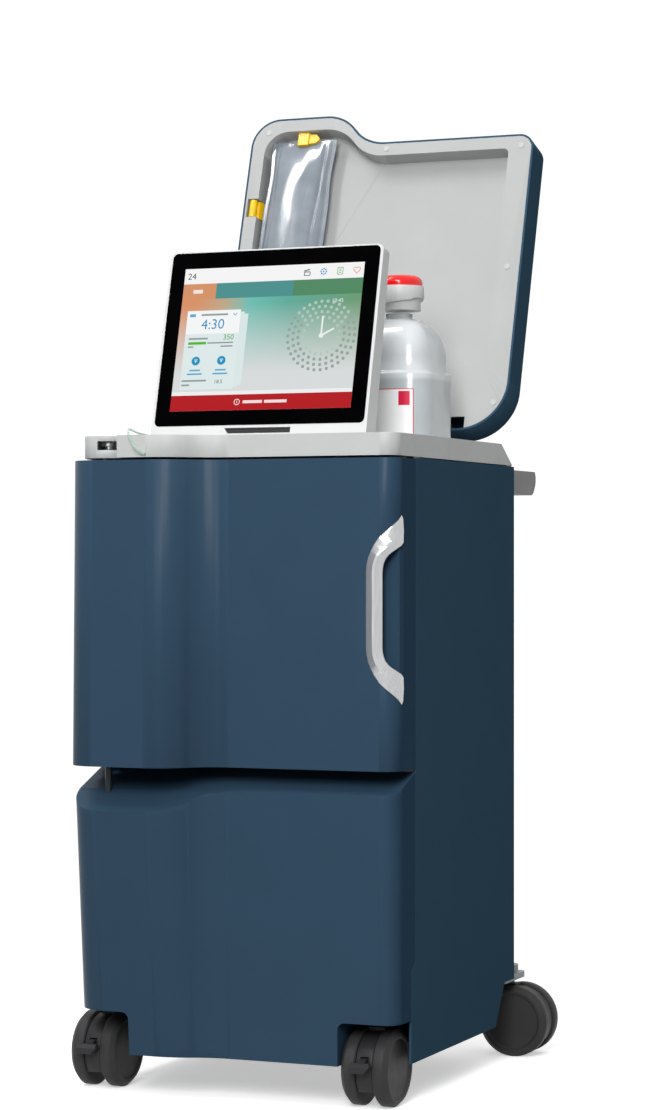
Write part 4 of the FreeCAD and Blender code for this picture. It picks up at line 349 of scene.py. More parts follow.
def clear_film():
    """Clear soft film round liquid, faintly blue."""
    material, tree, shader = new_material("clear_film")
    cloud = grain(tree, 30.0)
    tree.links.new(tinted(tree, cloud, srgb(126, 136, 147), srgb(146, 156, 166)), shader.inputs["Base Color"])
    tree.links.new(between(tree, cloud, 0.10, 0.16), shader.inputs["Roughness"])
    shader.inputs["IOR"].default_value = 1.45
    shader.inputs["Specular IOR Level"].default_value = 0.8
    shader.inputs["Coat Weight"].default_value = 1.0
    shader.inputs["Coat Roughness"].default_value = 0.08
    rough_bump(tree, shader, grain(tree, 40.0, 2.0), 0.0003, 0.3)
    return see_through(tree, shader, material, 0.25)


def bottle_plastic():
    """Milky blow-moulded plastic; the liquid behind it darkens the lower part."""
    material, tree, shader = new_material("bottle_plastic")
    split = add(tree, "ShaderNodeSeparateXYZ")
    tree.links.new(place(tree), split.inputs["Vector"])
    level = add(tree, "ShaderNodeMapRange")
    level.inputs["From Min"].default_value = (LIQUID_Z - 3) * MM
    level.inputs["From Max"].default_value = (LIQUID_Z + 2) * MM
    tree.links.new(split.outputs["Z"], level.inputs["Value"])
    tone = add(tree, "ShaderNodeMix", data_type="RGBA")
    tree.links.new(level.outputs["Result"], tone.inputs["Factor"])
    cloud = grain(tree, 24.0, 4.0)
    wet = tinted(tree, cloud, srgb(188, 196, 199), srgb(197, 204, 207))
    dry = tinted(tree, cloud, srgb(214, 219, 223), srgb(224, 228, 231))
    tree.links.new(wet, tone.inputs["A"])
    tree.links.new(dry, tone.inputs["B"])
    tree.links.new(tone.outputs["Result"], shader.inputs["Base Color"])
    tree.links.new(between(tree, cloud, 0.20, 0.26), shader.inputs["Roughness"])
    shader.inputs["Coat Weight"].default_value = 0.5
    shader.inputs["Coat Roughness"].default_value = 0.12
    return see_through(tree, shader, material, 0.12)


def bottle_liquid():
    """Liquid seen through the milky wall."""
    material, tree, shader = new_material("bottle_liquid")
    cloud = grain(tree, 18.0)
    tree.links.new(tinted(tree, cloud, srgb(176, 184, 190), srgb(186, 194, 199)), shader.inputs["Base Color"])
    shader.inputs["Transmission Weight"].default_value = 0.35
    shader.inputs["IOR"].default_value = 1.2
    tree.links.new(between(tree, cloud, 0.1, 0.2), shader.inputs["Roughness"])
    return material


def soft_tube():
    """Clear, faintly green tube."""
    material, tree, shader = new_material("soft_tube")
    cloud = grain(tree, 200.0)
    tree.links.new(tinted(tree, cloud, srgb(196, 222, 210), srgb(214, 234, 224)), shader.inputs["Base Color"])
    shader.inputs["Transmission Weight"].default_value = 0.7
    shader.inputs["IOR"].default_value = 1.3
    tree.links.new(between(tree, cloud, 0.1, 0.2), shader.inputs["Roughness"])
    return material


def fibre_barrel():
    """Clear barrel over pale fibres that run lengthwise."""
    material, tree, shader = new_material("fibre_barrel")
    strands = grain(tree, 700.0, 2.0, (1.0, 1.0, 0.03))
    colour = tinted(tree, strands, srgb(206, 206, 198), srgb(240, 240, 234))
    tree.links.new(colour, shader.inputs["Base Color"])
    tree.links.new(between(tree, strands, 0.12, 0.22), shader.inputs["Roughness"])
    shader.inputs["Coat Weight"].default_value = 0.7
    return material


def glow(name, colour):
    """Lit part of the display, a plain colour with a faint raster."""
    material, tree, shader = new_material(name)
    shader.inputs["Base Color"].default_value = (0.0, 0.0, 0.0, 1.0)
    shader.inputs["Roughness"].default_value = 0.25
    shader.inputs["Specular IOR Level"].default_value = 0.1
    red, green, blue = colour
    raster = grain(tree, 3000.0, 1.0)
    lit = tinted(tree, raster, srgb(red * 0.985, green * 0.985, blue * 0.985), srgb(red, green, blue))
    tree.links.new(lit, shader.inputs["Emission Color"])
    shader.inputs["Emission Strength"].default_value = SCREEN_GLOW
    return material


MATERIALS = {
    "navy": navy_paint(),
    "navy_side": navy_side_paint(),
    "pale": pale_moulding(),
    "liner": liner_moulding(),
    "tablet": tablet_moulding(),
    "push": push_moulding(),
    "mid": mid_moulding(),
    "collar": collar_moulding(),
    "dark": dark_moulding(),
    "tread": wheel_tread(),
    "seal": seal_rubber(),
    "powder": powder_coat(),
    "white": white_moulding(),
    "board": board_laminate(),
    "satin": satin_metal(),
    "pin": pin_steel_and_painted_shade(),
    "glass": black_glass(),
    "yellow": bright_plastic("yellow_plastic", (255, 204, 20)),
    "red": bright_plastic("red_plastic", (252, 8, 16), 0.16),
    "film": clear_film(),
    "bottle": bottle_plastic(),
    "liquid": bottle_liquid(),
    "tube": soft_tube(),
    "fibre": fibre_barrel(),
}

NODE_FINISH = {
    "chassis_base": "powder", "cabinet_frame": "powder", "side_panel_left": "navy_side",
    "side_panel_right": "navy_side", "rear_panel": "navy_side", "mains_inlet": "dark",
    "power_switch": "dark", "water_inlet": "collar", "drain_outlet": "collar",
    "lower_cover": "navy", "deck": "pale", "bottle_well": "pale", "door_skin": "navy",
    "door_liner": "pale", "grip_cup": "navy", "door_handle": "satin",
    "door_hinge_pins": "pin", "bay_liner": "pale", "door_seal": "seal",
    "pump_panel": "pale", "pump_raceways": "mid", "blood_pump_rotor": "white",
    "infusion_pump_rotor": "white", "arterial_clamp": "mid", "venous_clamp": "mid",
    "dialyzer": "fibre", "dialyzer_clips": "mid", "drip_chambers": "fibre",
    "power_supply": "powder", "control_board": "board", "water_filters": "white",
    "dialysate_pump": "mid", "cooling_fan": "dark", "lid_shell": "navy_side",
    "lid_liner": "liner", "lid_knuckles": "powder", "lid_hinge_brackets": "pale",
    "lid_screws": "pale", "bag_hook": "yellow", "bag_clip": "yellow",
    "saline_bag": "film", "tablet_housing": "tablet", "tablet_glass": "glass",
    "tablet_screen": "glass", "tablet_hinge_posts": "mid", "bottle_body": "bottle",
    "bottle_collar": "collar", "bottle_cap": "red", "front_caster_hoods": "dark",
    "front_right_wheels": "tread", "front_left_wheels": "tread",
    "front_right_pedal": "dark", "front_left_pedal": "dark",
    "rear_outriggers": "powder", "rear_right_swivel": "dark",
    "rear_left_swivel": "dark", "rear_right_wheels": "tread",
    "rear_left_wheels": "tread", "push_handle": "push", "saline_line": "tube",
}

EDGE_WIDTH = {
    "deck": 2.2, "lower_cover": 2.0, "door_skin": 1.2, "tablet_housing": 1.6, "lid_liner": 1.6,
    "lid_shell": 0.6, "grip_cup": 0.8, "push_handle": 2.5, "bag_hook": 1.2,
    "bag_clip": 0.5, "front_right_wheels": 1.0, "front_left_wheels": 1.0, "rear_right_wheels": 1.0,
    "rear_left_wheels": 1.0, "front_caster_hoods": 0.8, "front_right_pedal": 1.5, "front_left_pedal": 1.5,
    "side_panel_left": 0.6, "side_panel_right": 0.6, "lid_screws": 0.3, "lid_hinge_brackets": 1.0,
    "tablet_glass": 0.15, "bottle_collar": 0.8, "door_hinge_pins": 0.8, "bay_liner": 1.2,
    "pump_panel": 0.8, "rear_left_swivel": 0.8, "rear_right_swivel": 0.8, "rear_outriggers": 1.0,
}


def paint(obj, material):
    """Give an object one material."""
    obj.data.materials.clear()
    obj.data.materials.append(material)


def soften(obj, width_mm):
    """Round an object's sharp edges by a small amount."""
    weld = obj.modifiers.new("weld", "WELD")
    weld.merge_threshold = 0.00001
    bevel = obj.modifiers.new("bevel", "BEVEL")
    bevel.width = width_mm * MM
    bevel.segments = 2
    bevel.limit_method = "ANGLE"
    bevel.angle_limit = math.radians(35)
    bevel.use_clamp_overlap = True
    bevel.harden_normals = True


def dress_nodes():
    """Materials and soft edges for the pieces whose solid is right as it is."""
    for name, finish in NODE_FINISH.items():
        node = nodes[name]
        paint(node, MATERIALS[finish])
        if name in EDGE_WIDTH:
            soften(node, EDGE_WIDTH[name])


# Mesh helpers

def mesh_object(name, mesh, body, material, smooth=True):
    """Object from a mesh, finished and riding on a body."""
    obj = bpy.data.objects.new(name, mesh)
    bpy.context.scene.collection.objects.link(obj)
    mesh.materials.append(material)
    if smooth:
        for polygon in mesh.polygons:
            polygon.use_smooth = True
    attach(obj, body)
    return obj


def loft(rings):
    """Closed mesh through rings of equally many points."""
    mesh = bmesh.new()
    rows = [[mesh.verts.new(point) for point in ring] for ring in rings]
    count = len(rows[0])
    for lower, upper in zip(rows, rows[1:]):
        for index in range(count):
            after = (index + 1) % count
            mesh.faces.new((lower[index], lower[after], upper[after], upper[index]))
    mesh.faces.new(list(reversed(rows[0])))
    mesh.faces.new(rows[-1])
    bmesh.ops.recalc_face_normals(mesh, faces=mesh.faces)
    result = bpy.data.meshes.new("loft")
    mesh.to_mesh(result)
    mesh.free()
    return result


def plates(outlines, low, high, put):
    """Thin plates on flat outlines; put turns (a, b, height) into a point."""
    mesh = bmesh.new()
    for outline in outlines:
        lower = [mesh.verts.new(put(a, b, low)) for a, b in outline]
        upper = [mesh.verts.new(put(a, b, high)) for a, b in outline]
        mesh.faces.new(lower)
        mesh.faces.new(list(reversed(upper)))
        count = len(outline)
        for index in range(count):
            after = (index + 1) % count
            mesh.faces.new((lower[index], upper[index], upper[after], lower[after]))
    bmesh.ops.recalc_face_normals(mesh, faces=mesh.faces)
    result = bpy.data.meshes.new("plates")
    mesh.to_mesh(result)
    mesh.free()
    return result


def rounded_box(cx, cy, half_x, half_y, radius, steps=5):
    """Outline of a rectangle with round corners."""
    points = []
    for quarter, (sx, sy) in enumerate(((1, 1), (-1, 1), (-1, -1), (1, -1))):
        for step in range(steps + 1):
            turn = math.pi / 2 * (quarter + step / steps)
            points.append((
                cx + sx * (half_x - radius) + radius * math.cos(turn),
                cy + sy * (half_y - radius) + radius * math.sin(turn),
            ))
    return points


def disc(cx, cy, radius, steps=24):
    """Outline of a circle."""
    points = []
    for step in range(steps):
        turn = 2 * math.pi * step / steps
        points.append((cx + radius * math.cos(turn), cy + radius * math.sin(turn)))
    return points


def band(cx, cy, outer, inner, start, end, steps=24):
    """Outline of an arc-shaped band, with its angles in degrees."""
    points = []
    for step in range(steps + 1):
        turn = math.radians(start + (end - start) * step / steps)
        points.append((cx + outer * math.cos(turn), cy + outer * math.sin(turn)))
    for step in range(steps, -1, -1):
        turn = math.radians(start + (end - start) * step / steps)
        points.append((cx + inner * math.cos(turn), cy + inner * math.sin(turn)))
    return points


def bar(x0, y0, x1, y1, width):
    """Outline of a straight stroke between two points."""
    along = Vector((x1 - x0, y1 - y0))
    across = Vector((-along.y, along.x)).normalized() * width / 2
    return [
        (x0 + across.x, y0 + across.y),
        (x1 + across.x, y1 + across.y),
        (x1 - across.x, y1 - across.y),
        (x0 - across.x, y0 - across.y),
    ]


# Display

def on_tablet(x, up, lift):
    """Point on the tablet's face: across, up the face and off the glass, in millimetres."""
    foot = Vector(TABLET_FOOT)
    rise = Vector((0, math.sin(TABLET_LEAN), math.cos(TABLET_LEAN)))
    out = Vector((0, -math.cos(TABLET_LEAN), math.sin(TABLET_LEAN)))
    point = foot + Vector((x, 0, 0)) + rise * up + out * (GLASS_PROUD + lift)
    return at(*point)


def screen_spot(across, down):
    """Place on the tablet's face from shares of the screen's width and height."""
    x = (across - 0.5) * SCREEN_WIDTH
    return x, SCREEN_HIGH - down * (SCREEN_HIGH - SCREEN_LOW)


def screen_area(left, top, right, bottom, radius=0.0):
    """Rectangle given by shares of the screen."""
    x0, up0 = screen_spot(left, top)
    x1, up1 = screen_spot(right, bottom)
    if radius > 0:
        return rounded_box((x0 + x1) / 2, (up0 + up1) / 2, (x1 - x0) / 2, (up0 - up1) / 2, radius)
    return [(x0, up1), (x1, up1), (x1, up0), (x0, up0)]


LAYER = 0.05


def show(name, outlines, colour, layer):
    """Group of flat lit shapes of one colour on the display."""
    mesh = plates(outlines, LAYER * (layer - 1) + 0.01, LAYER * layer, on_tablet)
    mesh_object(name, mesh, "tablet", glow(name + "_glow", colour), False)


def digits(name, text, across, down, height, colour, layer):
    """Plain numerals on the display; height is the numerals' height in millimetres."""
    curve = bpy.data.curves.new(name, "FONT")
    curve.body = text
    curve.size = height / 0.7
    curve.align_x = "CENTER"
    curve.align_y = "CENTER"
    curve.resolution_u = 4
    holder = bpy.data.objects.new(name + "_outline", curve)
    bpy.context.scene.collection.objects.link(holder)
    bpy.context.view_layer.update()
    mesh = bpy.data.meshes.new_from_object(holder)
    bpy.data.objects.remove(holder)
    x, up = screen_spot(across, down)
    for vertex in mesh.vertices:
        vertex.co = on_tablet(x + vertex.co.x, up + vertex.co.y, LAYER * layer)
    mesh.name = name
    mesh_object(name, mesh, "tablet", glow(name + "_glow", colour), False)


def gradient_glow():
    """Background of the display: orange at the upper left, teal, green and a pale lower half."""
    material, tree, shader = new_material("display_background")
    shader.inputs["Base Color"].default_value = (0.0, 0.0, 0.0, 1.0)
    shader.inputs["Roughness"].default_value = 0.25
    shader.inputs["Specular IOR Level"].default_value = 0.1
    split = add(tree, "ShaderNodeSeparateXYZ")
    tree.links.new(place(tree), split.inputs["Vector"])
    across = add(tree, "ShaderNodeMapRange")
    across.inputs["From Min"].default_value = -SCREEN_WIDTH / 2 * MM
    across.inputs["From Max"].default_value = SCREEN_WIDTH / 2 * MM
    tree.links.new(split.outputs["X"], across.inputs["Value"])
    down = add(tree, "ShaderNodeMapRange")
    down.inputs["From Min"].default_value = on_tablet(0, SCREEN_HIGH, 0).z
    down.inputs["From Max"].default_value = on_tablet(0, SCREEN_LOW, 0).z
    tree.links.new(split.outputs["Z"], down.inputs["Value"])
    sides = add(tree, "ShaderNodeValToRGB")
    stops = sides.color_ramp.elements
    stops[0].position = 0.08
    stops[0].color = srgb(224, 150, 104)
    stops[1].position = 1.0
    stops[1].color = srgb(112, 160, 118)
    for position, colour in ((0.24, (196, 172, 140)), (0.38, (112, 196, 184)), (0.6, (98, 176, 158))):
        stop = stops.new(position)
        stop.color = srgb(*colour)
    tree.links.new(across.outputs["Result"], sides.inputs["Fac"])
    fade = add(tree, "ShaderNodeValToRGB")
    fade.color_ramp.elements[0].position = 0.26
    fade.color_ramp.elements[0].color = (0, 0, 0, 1)
    fade.color_ramp.elements[1].position = 0.74
    fade.color_ramp.elements[1].color = (1, 1, 1, 1)
    tree.links.new(down.outputs["Result"], fade.inputs["Fac"])
    blend = add(tree, "ShaderNodeMix", data_type="RGBA")
    tree.links.new(fade.outputs["Color"], blend.inputs["Factor"])
    tree.links.new(sides.outputs["Color"], blend.inputs["A"])
    blend.inputs["B"].default_value = srgb(222, 226, 226)
    tree.links.new(blend.outputs["Result"], shader.inputs["Emission Color"])
    shader.inputs["Emission Strength"].default_value = SCREEN_GLOW
    return material


def dotted_dial():
    """Grey dots in rings, for the large figure at the right of the display."""
    x, up = screen_spot(0.80, 0.50)
    dots = []
    pale = []
    for ring, count in ((46.0, 34), (39.0, 29), (32.0, 24), (25.0, 19)):
        for index in range(count):
            turn = 2 * math.pi * index / count + ring
            spot = (x + ring * math.cos(turn), up + ring * math.sin(turn))
            target = pale if math.sin(turn) > 0.55 or ring < 26 else dots
            target.append(rounded_box(spot[0], spot[1], 2.0, 2.0, 0.9, 2))
    show("display_dots", dots, (156, 170, 164), 1)
    show("display_pale_dots", pale, (188, 206, 196), 1)
    hands = [
        bar(x, up, x, up + 26, 2.4),
        bar(x, up, x + 17, up + 9, 2.4),
        disc(x, up, 3.2),
    ]
    show("display_hands", hands, (244, 247, 246), 2)


def display_card():
    """White card with the time, a value with its bar, two round buttons and a last line."""
    edges = [screen_area(0.338, 0.315, 0.362, 0.838), screen_area(0.362, 0.33, 0.384, 0.825)]
    show("display_card_edges", edges, (226, 240, 240), 1)
    show("display_card", [screen_area(0.040, 0.299, 0.340, 0.852)], (230, 243, 242), 2)
    show("display_card_head", [screen_area(0.040, 0.299, 0.340, 0.462)], (254, 255, 255), 3)
    digits("display_time", "4:30", 0.19, 0.400, 13.5, (38, 150, 208), 4)
    digits("display_value", "350", 0.286, 0.492, 7.2, (56, 158, 40), 4)
    blue = [
        screen_area(0.055, 0.322, 0.088, 0.342),
        bar(*screen_spot(0.300, 0.324), *screen_spot(0.311, 0.338), 1.2),
        bar(*screen_spot(0.311, 0.338), *screen_spot(0.322, 0.324), 1.2),
    ]
    for across in (0.116, 0.260):
        for row, reach in ((0.712, 0.030), (0.738, 0.042)):
            blue.append(screen_area(across - reach, row, across + reach, row + 0.011))
    show("display_blue", blue, (96, 172, 214), 4)
    grey = [
        screen_area(0.120, 0.323, 0.270, 0.336),
        screen_area(0.062, 0.490, 0.170, 0.502),
        screen_area(0.170, 0.523, 0.316, 0.533),
        screen_area(0.062, 0.548, 0.094, 0.558),
        screen_area(0.246, 0.548, 0.314, 0.558),
        screen_area(0.048, 0.784, 0.186, 0.796),
        screen_area(0.048, 0.814, 0.094, 0.826),
    ]
    show("display_grey", grey, (150, 160, 163), 4)
    show("display_green", [screen_area(0.062, 0.519, 0.163, 0.537)], (84, 190, 30), 5)
    discs = [disc(*screen_spot(across, 0.652), 6.0) for across in (0.116, 0.260)]
    show("display_buttons", discs, (28, 150, 200), 4)
    marks = []
    for across in (0.116, 0.260):
        x, up = screen_spot(across, 0.652)
        marks.append(bar(x - 2.4, up + 1.6, x + 2.4, up + 1.6, 1.0))
        marks.append(bar(x - 1.6, up - 0.4, x + 1.6, up - 0.4, 1.0))
        marks.append(bar(x, up - 2.4, x, up + 0.2, 1.0))
    show("display_button_marks", marks, (240, 250, 252), 5)
    digits("display_total", "18.5", 0.255, 0.800, 5.0, (60, 64, 66), 4)


def display_header():
    """White bar with a number and four small outlined icons."""
    show("display_header", [screen_area(0.0, 0.0, 1.0, 0.108)], (254, 254, 254), 1)
    digits("display_number", "24", 0.042, 0.056, 8.5, (44, 46, 48), 2)
    x, up = screen_spot(0.689, 0.058)
    box_icon = [
        bar(x - 4.2, up - 4, x + 4.2, up - 4, 1.0), bar(x - 4, up - 4, x - 4, up + 0.5, 1.0),
        bar(x + 4, up - 4, x + 4, up + 0.5, 1.0), bar(x - 4.2, up + 0.6, x + 4.2, up + 0.6, 1.2),
        bar(x - 4.6, up + 2.0, x + 3.4, up + 4.0, 1.4),
    ]
    show("display_icon_box", box_icon, (34, 84, 92), 2)
    x, up = screen_spot(0.779, 0.056)
    gear = [band(x, up, 3.9, 3.0, 0, 358), disc(x, up, 1.2, 12)]
    for index in range(8):
        turn = math.pi / 4 * index
        gear.append(bar(x + 3.7 * math.cos(turn), up + 3.7 * math.sin(turn),
                        x + 5.0 * math.cos(turn), up + 5.0 * math.sin(turn), 1.2))
    show("display_icon_gear", gear, (56, 150, 214), 2)
    x, up = screen_spot(0.870, 0.056)
    sheet_icon = [
        bar(x - 3.6, up - 4.6, x + 3.6, up - 4.6, 0.9), bar(x - 3.6, up + 4.6, x + 3.6, up + 4.6, 0.9),
        bar(x - 3.6, up - 4.6, x - 3.6, up + 4.6, 0.9), bar(x + 3.6, up - 4.6, x + 3.6, up + 4.6, 0.9),
        bar(x - 1.6, up - 2.2, x + 1.6, up - 2.2, 0.9), bar(x - 1.6, up, x + 1.6, up, 0.9),
        bar(x - 1.6, up + 2.2, x + 1.6, up + 2.2, 0.9),
    ]
    show("display_icon_sheet", sheet_icon, (84, 176, 96), 2)
    x, up = screen_spot(0.961, 0.054)
    heart = [
        band(x - 2.2, up + 1.4, 2.8, 2.0, 20, 200, 10), band(x + 2.2, up + 1.4, 2.8, 2.0, -20, 160, 10),
        bar(x - 4.8, up + 0.6, x, up - 4.8, 0.9), bar(x + 4.8, up + 0.6, x, up - 4.8, 0.9),
    ]
    show("display_icon_heart", heart, (238, 116, 84), 2)


def chin_slot_painted_shade():
    """Near-black plate set back from the mouth of the slot in the tablet's chin, painted shade standing in
    for the slot's shaded depth.
    """
    half = CHIN_HALF - CHIN_GAP
    low = CHIN_LOW + CHIN_GAP
    high = CHIN_HIGH - CHIN_GAP
    outline = [(-half + CHIN_SLANT, low), (half, low), (half, high), (-half, high)]
    back = -CHIN_DEPTH - GLASS_PROUD + 0.1
    mesh = plates([outline], back, -GLASS_PROUD - CHIN_SET_BACK, on_tablet)
    # Painted shade: the near-black plate stands in for the shade inside the slot
    mesh_object("chin_slot_painted_shade", mesh, "tablet", MATERIALS["dark"], False)


def display():
    """Everything that the display shows."""
    paint(nodes["tablet_screen"], gradient_glow())
    display_header()
    show("display_tab", [screen_area(0.0, 0.108, 0.187, 0.217)], (222, 152, 108), 1)
    show("display_tab_mark", [screen_area(0.058, 0.150, 0.112, 0.176)], (250, 238, 228), 2)
    show("display_band", [screen_area(0.187, 0.108, 0.62, 0.217)], (78, 150, 148), 1)
    show("display_band_end", [screen_area(0.62, 0.108, 1.0, 0.217)], (84, 142, 104), 1)
    digits("display_clock", "10:45", 0.872, 0.262, 5.2, (238, 246, 242), 1)
    display_card()
    dotted_dial()
    show("display_rule", [screen_area(0.0, 0.866, 1.0, 0.892)], (246, 248, 248), 1)
    show("display_footer", [screen_area(0.0, 0.892, 1.0, 1.0)], (186, 22, 30), 1)
    x, up = screen_spot(0.372, 0.944)
    ring = [band(x, up, 4.2, 3.2, 0, 358), bar(x, up - 1.6, x, up + 1.8, 1.0)]
    show("display_footer_ring", ring, (250, 232, 232), 2)
    marks = [screen_area(0.405, 0.934, 0.512, 0.954), screen_area(0.524, 0.934, 0.648, 0.954)]
    show("display_footer_marks", marks, (250, 232, 232), 2)


# Bottle

BOTTLE_LOW, BOTTLE_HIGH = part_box("bottle_body")
BOTTLE_MIDDLE = (BOTTLE_LOW + BOTTLE_HIGH) / 2 / MM
BOTTLE_HALF_X = (BOTTLE_HIGH.x - BOTTLE_LOW.x) / 2 / MM
BOTTLE_HALF_Y = (BOTTLE_HIGH.y - BOTTLE_LOW.y) / 2 / MM
NECK_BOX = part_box("bottle_cap")
NECK_X = (NECK_BOX[0].x + NECK_BOX[1].x) / 2 / MM
NECK_Y = (NECK_BOX[0].y + NECK_BOX[1].y) / 2 / MM
BOTTLE_CORNER = 32.0
BOTTLE_LEDGE_Z = 924.0
BOTTLE_STEP = 5.5
BOTTLE_DOME_START = 14
BOTTLE_NECK_Z = 996.0
BOTTLE_MOUTH_Z = 1003.0
DOME_STEPS = 15
NECK_R = 18.0


def bottle_ring(z, inset, roundness=0.0, steps=12):
    """Level outline of the bottle; roundness 1 makes it the neck's circle."""
    half_x = BOTTLE_HALF_X - inset
    half_y = BOTTLE_HALF_Y - inset
    radius = max(4.0, BOTTLE_CORNER - inset * 0.5)
    square = rounded_box(BOTTLE_MIDDLE.x, BOTTLE_MIDDLE.y, half_x, half_y, min(radius, half_x - 1), steps)
    ring = []
    for x, y in square:
        turn = math.atan2(y - BOTTLE_MIDDLE.y, x - BOTTLE_MIDDLE.x)
        round_x = NECK_X + NECK_R * math.cos(turn)
        round_y = NECK_Y + NECK_R * math.sin(turn)
        ring.append(Vector((x + (round_x - x) * roundness, y + (round_y - y) * roundness, z)) * MM)
    return ring


def bottle_body():
    """Blow-moulded wall: soft foot, ledge, domed shoulder and neck."""
    foot = BOTTLE_LOW.z / MM
    ledge = BOTTLE_LEDGE_Z
    rows = [
        (foot + 3, 9.0, 0), (foot + 0.6, 7.0, 0), (foot, 5.0, 0), (foot + 0.8, 2.4, 0),
        (foot + 3, 0.8, 0), (foot + 7, 0, 0), (foot + 60, 0.2, 0),
        (ledge - 60, 0.3, 0), (ledge - 5, 0, 0), (ledge - 1.6, 0.9, 0), (ledge, 3.0, 0),
        (ledge + 0.6, BOTTLE_STEP - 1.2, 0), (ledge + 2.0, BOTTLE_STEP, 0),
    ]
    start = ledge + BOTTLE_DOME_START
    for step in range(1, DOME_STEPS):
        turn = math.pi / 2 * step / DOME_STEPS
        z = start + (BOTTLE_NECK_Z - start) * math.sin(turn)
        rows.append((z, BOTTLE_STEP, 1 - math.cos(turn)))
    rows += [(BOTTLE_NECK_Z + 0.6, 0, 1), (BOTTLE_MOUTH_Z, 0, 1)]
    rings = [bottle_ring(z, inset, round_share) for z, inset, round_share in rows]
    mesh = loft(rings)
    body = mesh_object("bottle_wall", mesh, "bottle", MATERIALS["bottle"])
    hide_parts("bottle_body")
    levels = ((foot + 4, 4.0), (foot + 8, 2.2), (LIQUID_Z - 1.5, 2.2), (LIQUID_Z, 3.2))
    inner = [bottle_ring(z, inset) for z, inset in levels]
    mesh_object("bottle_liquid", loft(inner), "bottle", MATERIALS["liquid"])


def bottle_front(along, z, lift):
    """Point off the bottle's front, at millimetres along it from the middle and round its corners."""
    flat = BOTTLE_HALF_X - BOTTLE_CORNER
    front = BOTTLE_MIDDLE.y - BOTTLE_HALF_Y
    if abs(along) <= flat:
        return Vector((BOTTLE_MIDDLE.x + along, front - lift, z)) * MM
    side = 1 if along > 0 else -1
    turn = (abs(along) - flat) / BOTTLE_CORNER
    centre = Vector((BOTTLE_MIDDLE.x + side * flat, front + BOTTLE_CORNER, 0))
    reach = BOTTLE_CORNER + lift
    x = centre.x + side * reach * math.sin(turn)
    y = centre.y - reach * math.cos(turn)
    return Vector((x, y, z)) * MM


def wrapped_patch(left, right, low, high, lift, thick, columns=24):
    """Thin curved patch on the bottle's front."""
    mesh = bmesh.new()
    grid = []
    for layer in (lift, lift + thick):
        for z in (low, high):
            row = []
            for column in range(columns + 1):
                along = left + (right - left) * column / columns
                row.append(mesh.verts.new(bottle_front(along, z, layer)))
            grid.append(row)
    inner_low, inner_high, outer_low, outer_high = grid
    pairs = (
        (inner_low, inner_high), (outer_low, outer_high),
        (inner_low, outer_low), (inner_high, outer_high),
    )
    for first, second in pairs:
        for column in range(columns):
            mesh.faces.new((first[column], first[column + 1], second[column + 1], second[column]))
    for column in (0, columns):
        mesh.faces.new((inner_low[column], outer_low[column], outer_high[column], inner_high[column]))
    bmesh.ops.recalc_face_normals(mesh, faces=mesh.faces)
    result = bpy.data.meshes.new("patch")
    mesh.to_mesh(result)
    mesh.free()
    return result


LABEL_LEFT = -34.0
LABEL_RIGHT = 43.0
LABEL_TOP = 901.0
LABEL_BOTTOM = 790.0
LABEL_BORDER = 1.1


def paper(name, colour):
    """Coated paper, with a faint fibre."""
    return moulded(name, colour, 0.42, 1400.0, 0.00001, 0.012, 0.35)


def bottle_label():
    """White label with a thin red border and a plain red square."""
    mesh_object(
        "bottle_label", wrapped_patch(LABEL_LEFT, LABEL_RIGHT, LABEL_BOTTOM, LABEL_TOP, 0.15, 0.15),
        "bottle", paper("label_paper", (250, 250, 250)), False)
    red = paper("label_red", (214, 22, 66))
    edge = LABEL_BORDER
    strips = (
        (LABEL_LEFT, LABEL_RIGHT, LABEL_TOP - edge, LABEL_TOP, 24),
        (LABEL_LEFT, LABEL_RIGHT, LABEL_BOTTOM, LABEL_BOTTOM + edge, 24),
        (LABEL_LEFT, LABEL_LEFT + edge, LABEL_BOTTOM + edge, LABEL_TOP - edge, 2),
        (LABEL_RIGHT - edge, LABEL_RIGHT, LABEL_BOTTOM + edge, LABEL_TOP - edge, 2),
        (LABEL_RIGHT - 20.5, LABEL_RIGHT - 5.0, LABEL_TOP - 22.0, LABEL_TOP - 3.6, 8),
    )
    for index, (left, right, low, high, columns) in enumerate(strips):
        mesh = wrapped_patch(left, right, low, high, 0.3, 0.08, columns)
        mesh_object(f"bottle_label_red_{index}", mesh, "bottle", red, False)


# Fluid bag

def lid_turn():
    """Turn of the lid from closed to open."""
    pivot = Vector(joints["lid_hinge"]["pos_m"])
    return Matrix.Translation(pivot) @ Matrix.Rotation(-LID_OPEN, 4, "X") @ Matrix.Translation(-pivot)


LID_TURN = lid_turn()


def in_lid(x, y, depth):
    """Point of the closed lid's drawing, at a depth above its rim, where the open lid has it."""
    return LID_TURN @ at(x, y, LID_RIM_Z + depth)


BAG_X = -137.0
BAG_TOP_Y = -46.0
BAG_LENGTH = 232.0
BAG_HALF = 51.0
BAG_MIDDLE_DEPTH = 12.0
BAG_THICK = 25.0
BAG_TILT = math.radians(1.0)
CLIP_DOWN = 0.457
CLIP_ACROSS = -0.66
CLIP_DENT = 2.2


def bag_fat(down):
    """Half thickness of the bag at a share of its length."""
    top = 1 - (1 - min(1.0, down / 0.30)) ** 2
    bottom = min(1.0, (1 - down) / 0.08) ** 0.6
    return BAG_THICK / 2 * top * bottom * (0.86 + 0.14 * down)


def bag_edge(down):
    """Half width of the bag at a share of its length; it draws in below its top weld."""
    return BAG_HALF * (1 - 0.05 * math.exp(-((down - 0.25) / 0.14) ** 2) - 0.02 * down)


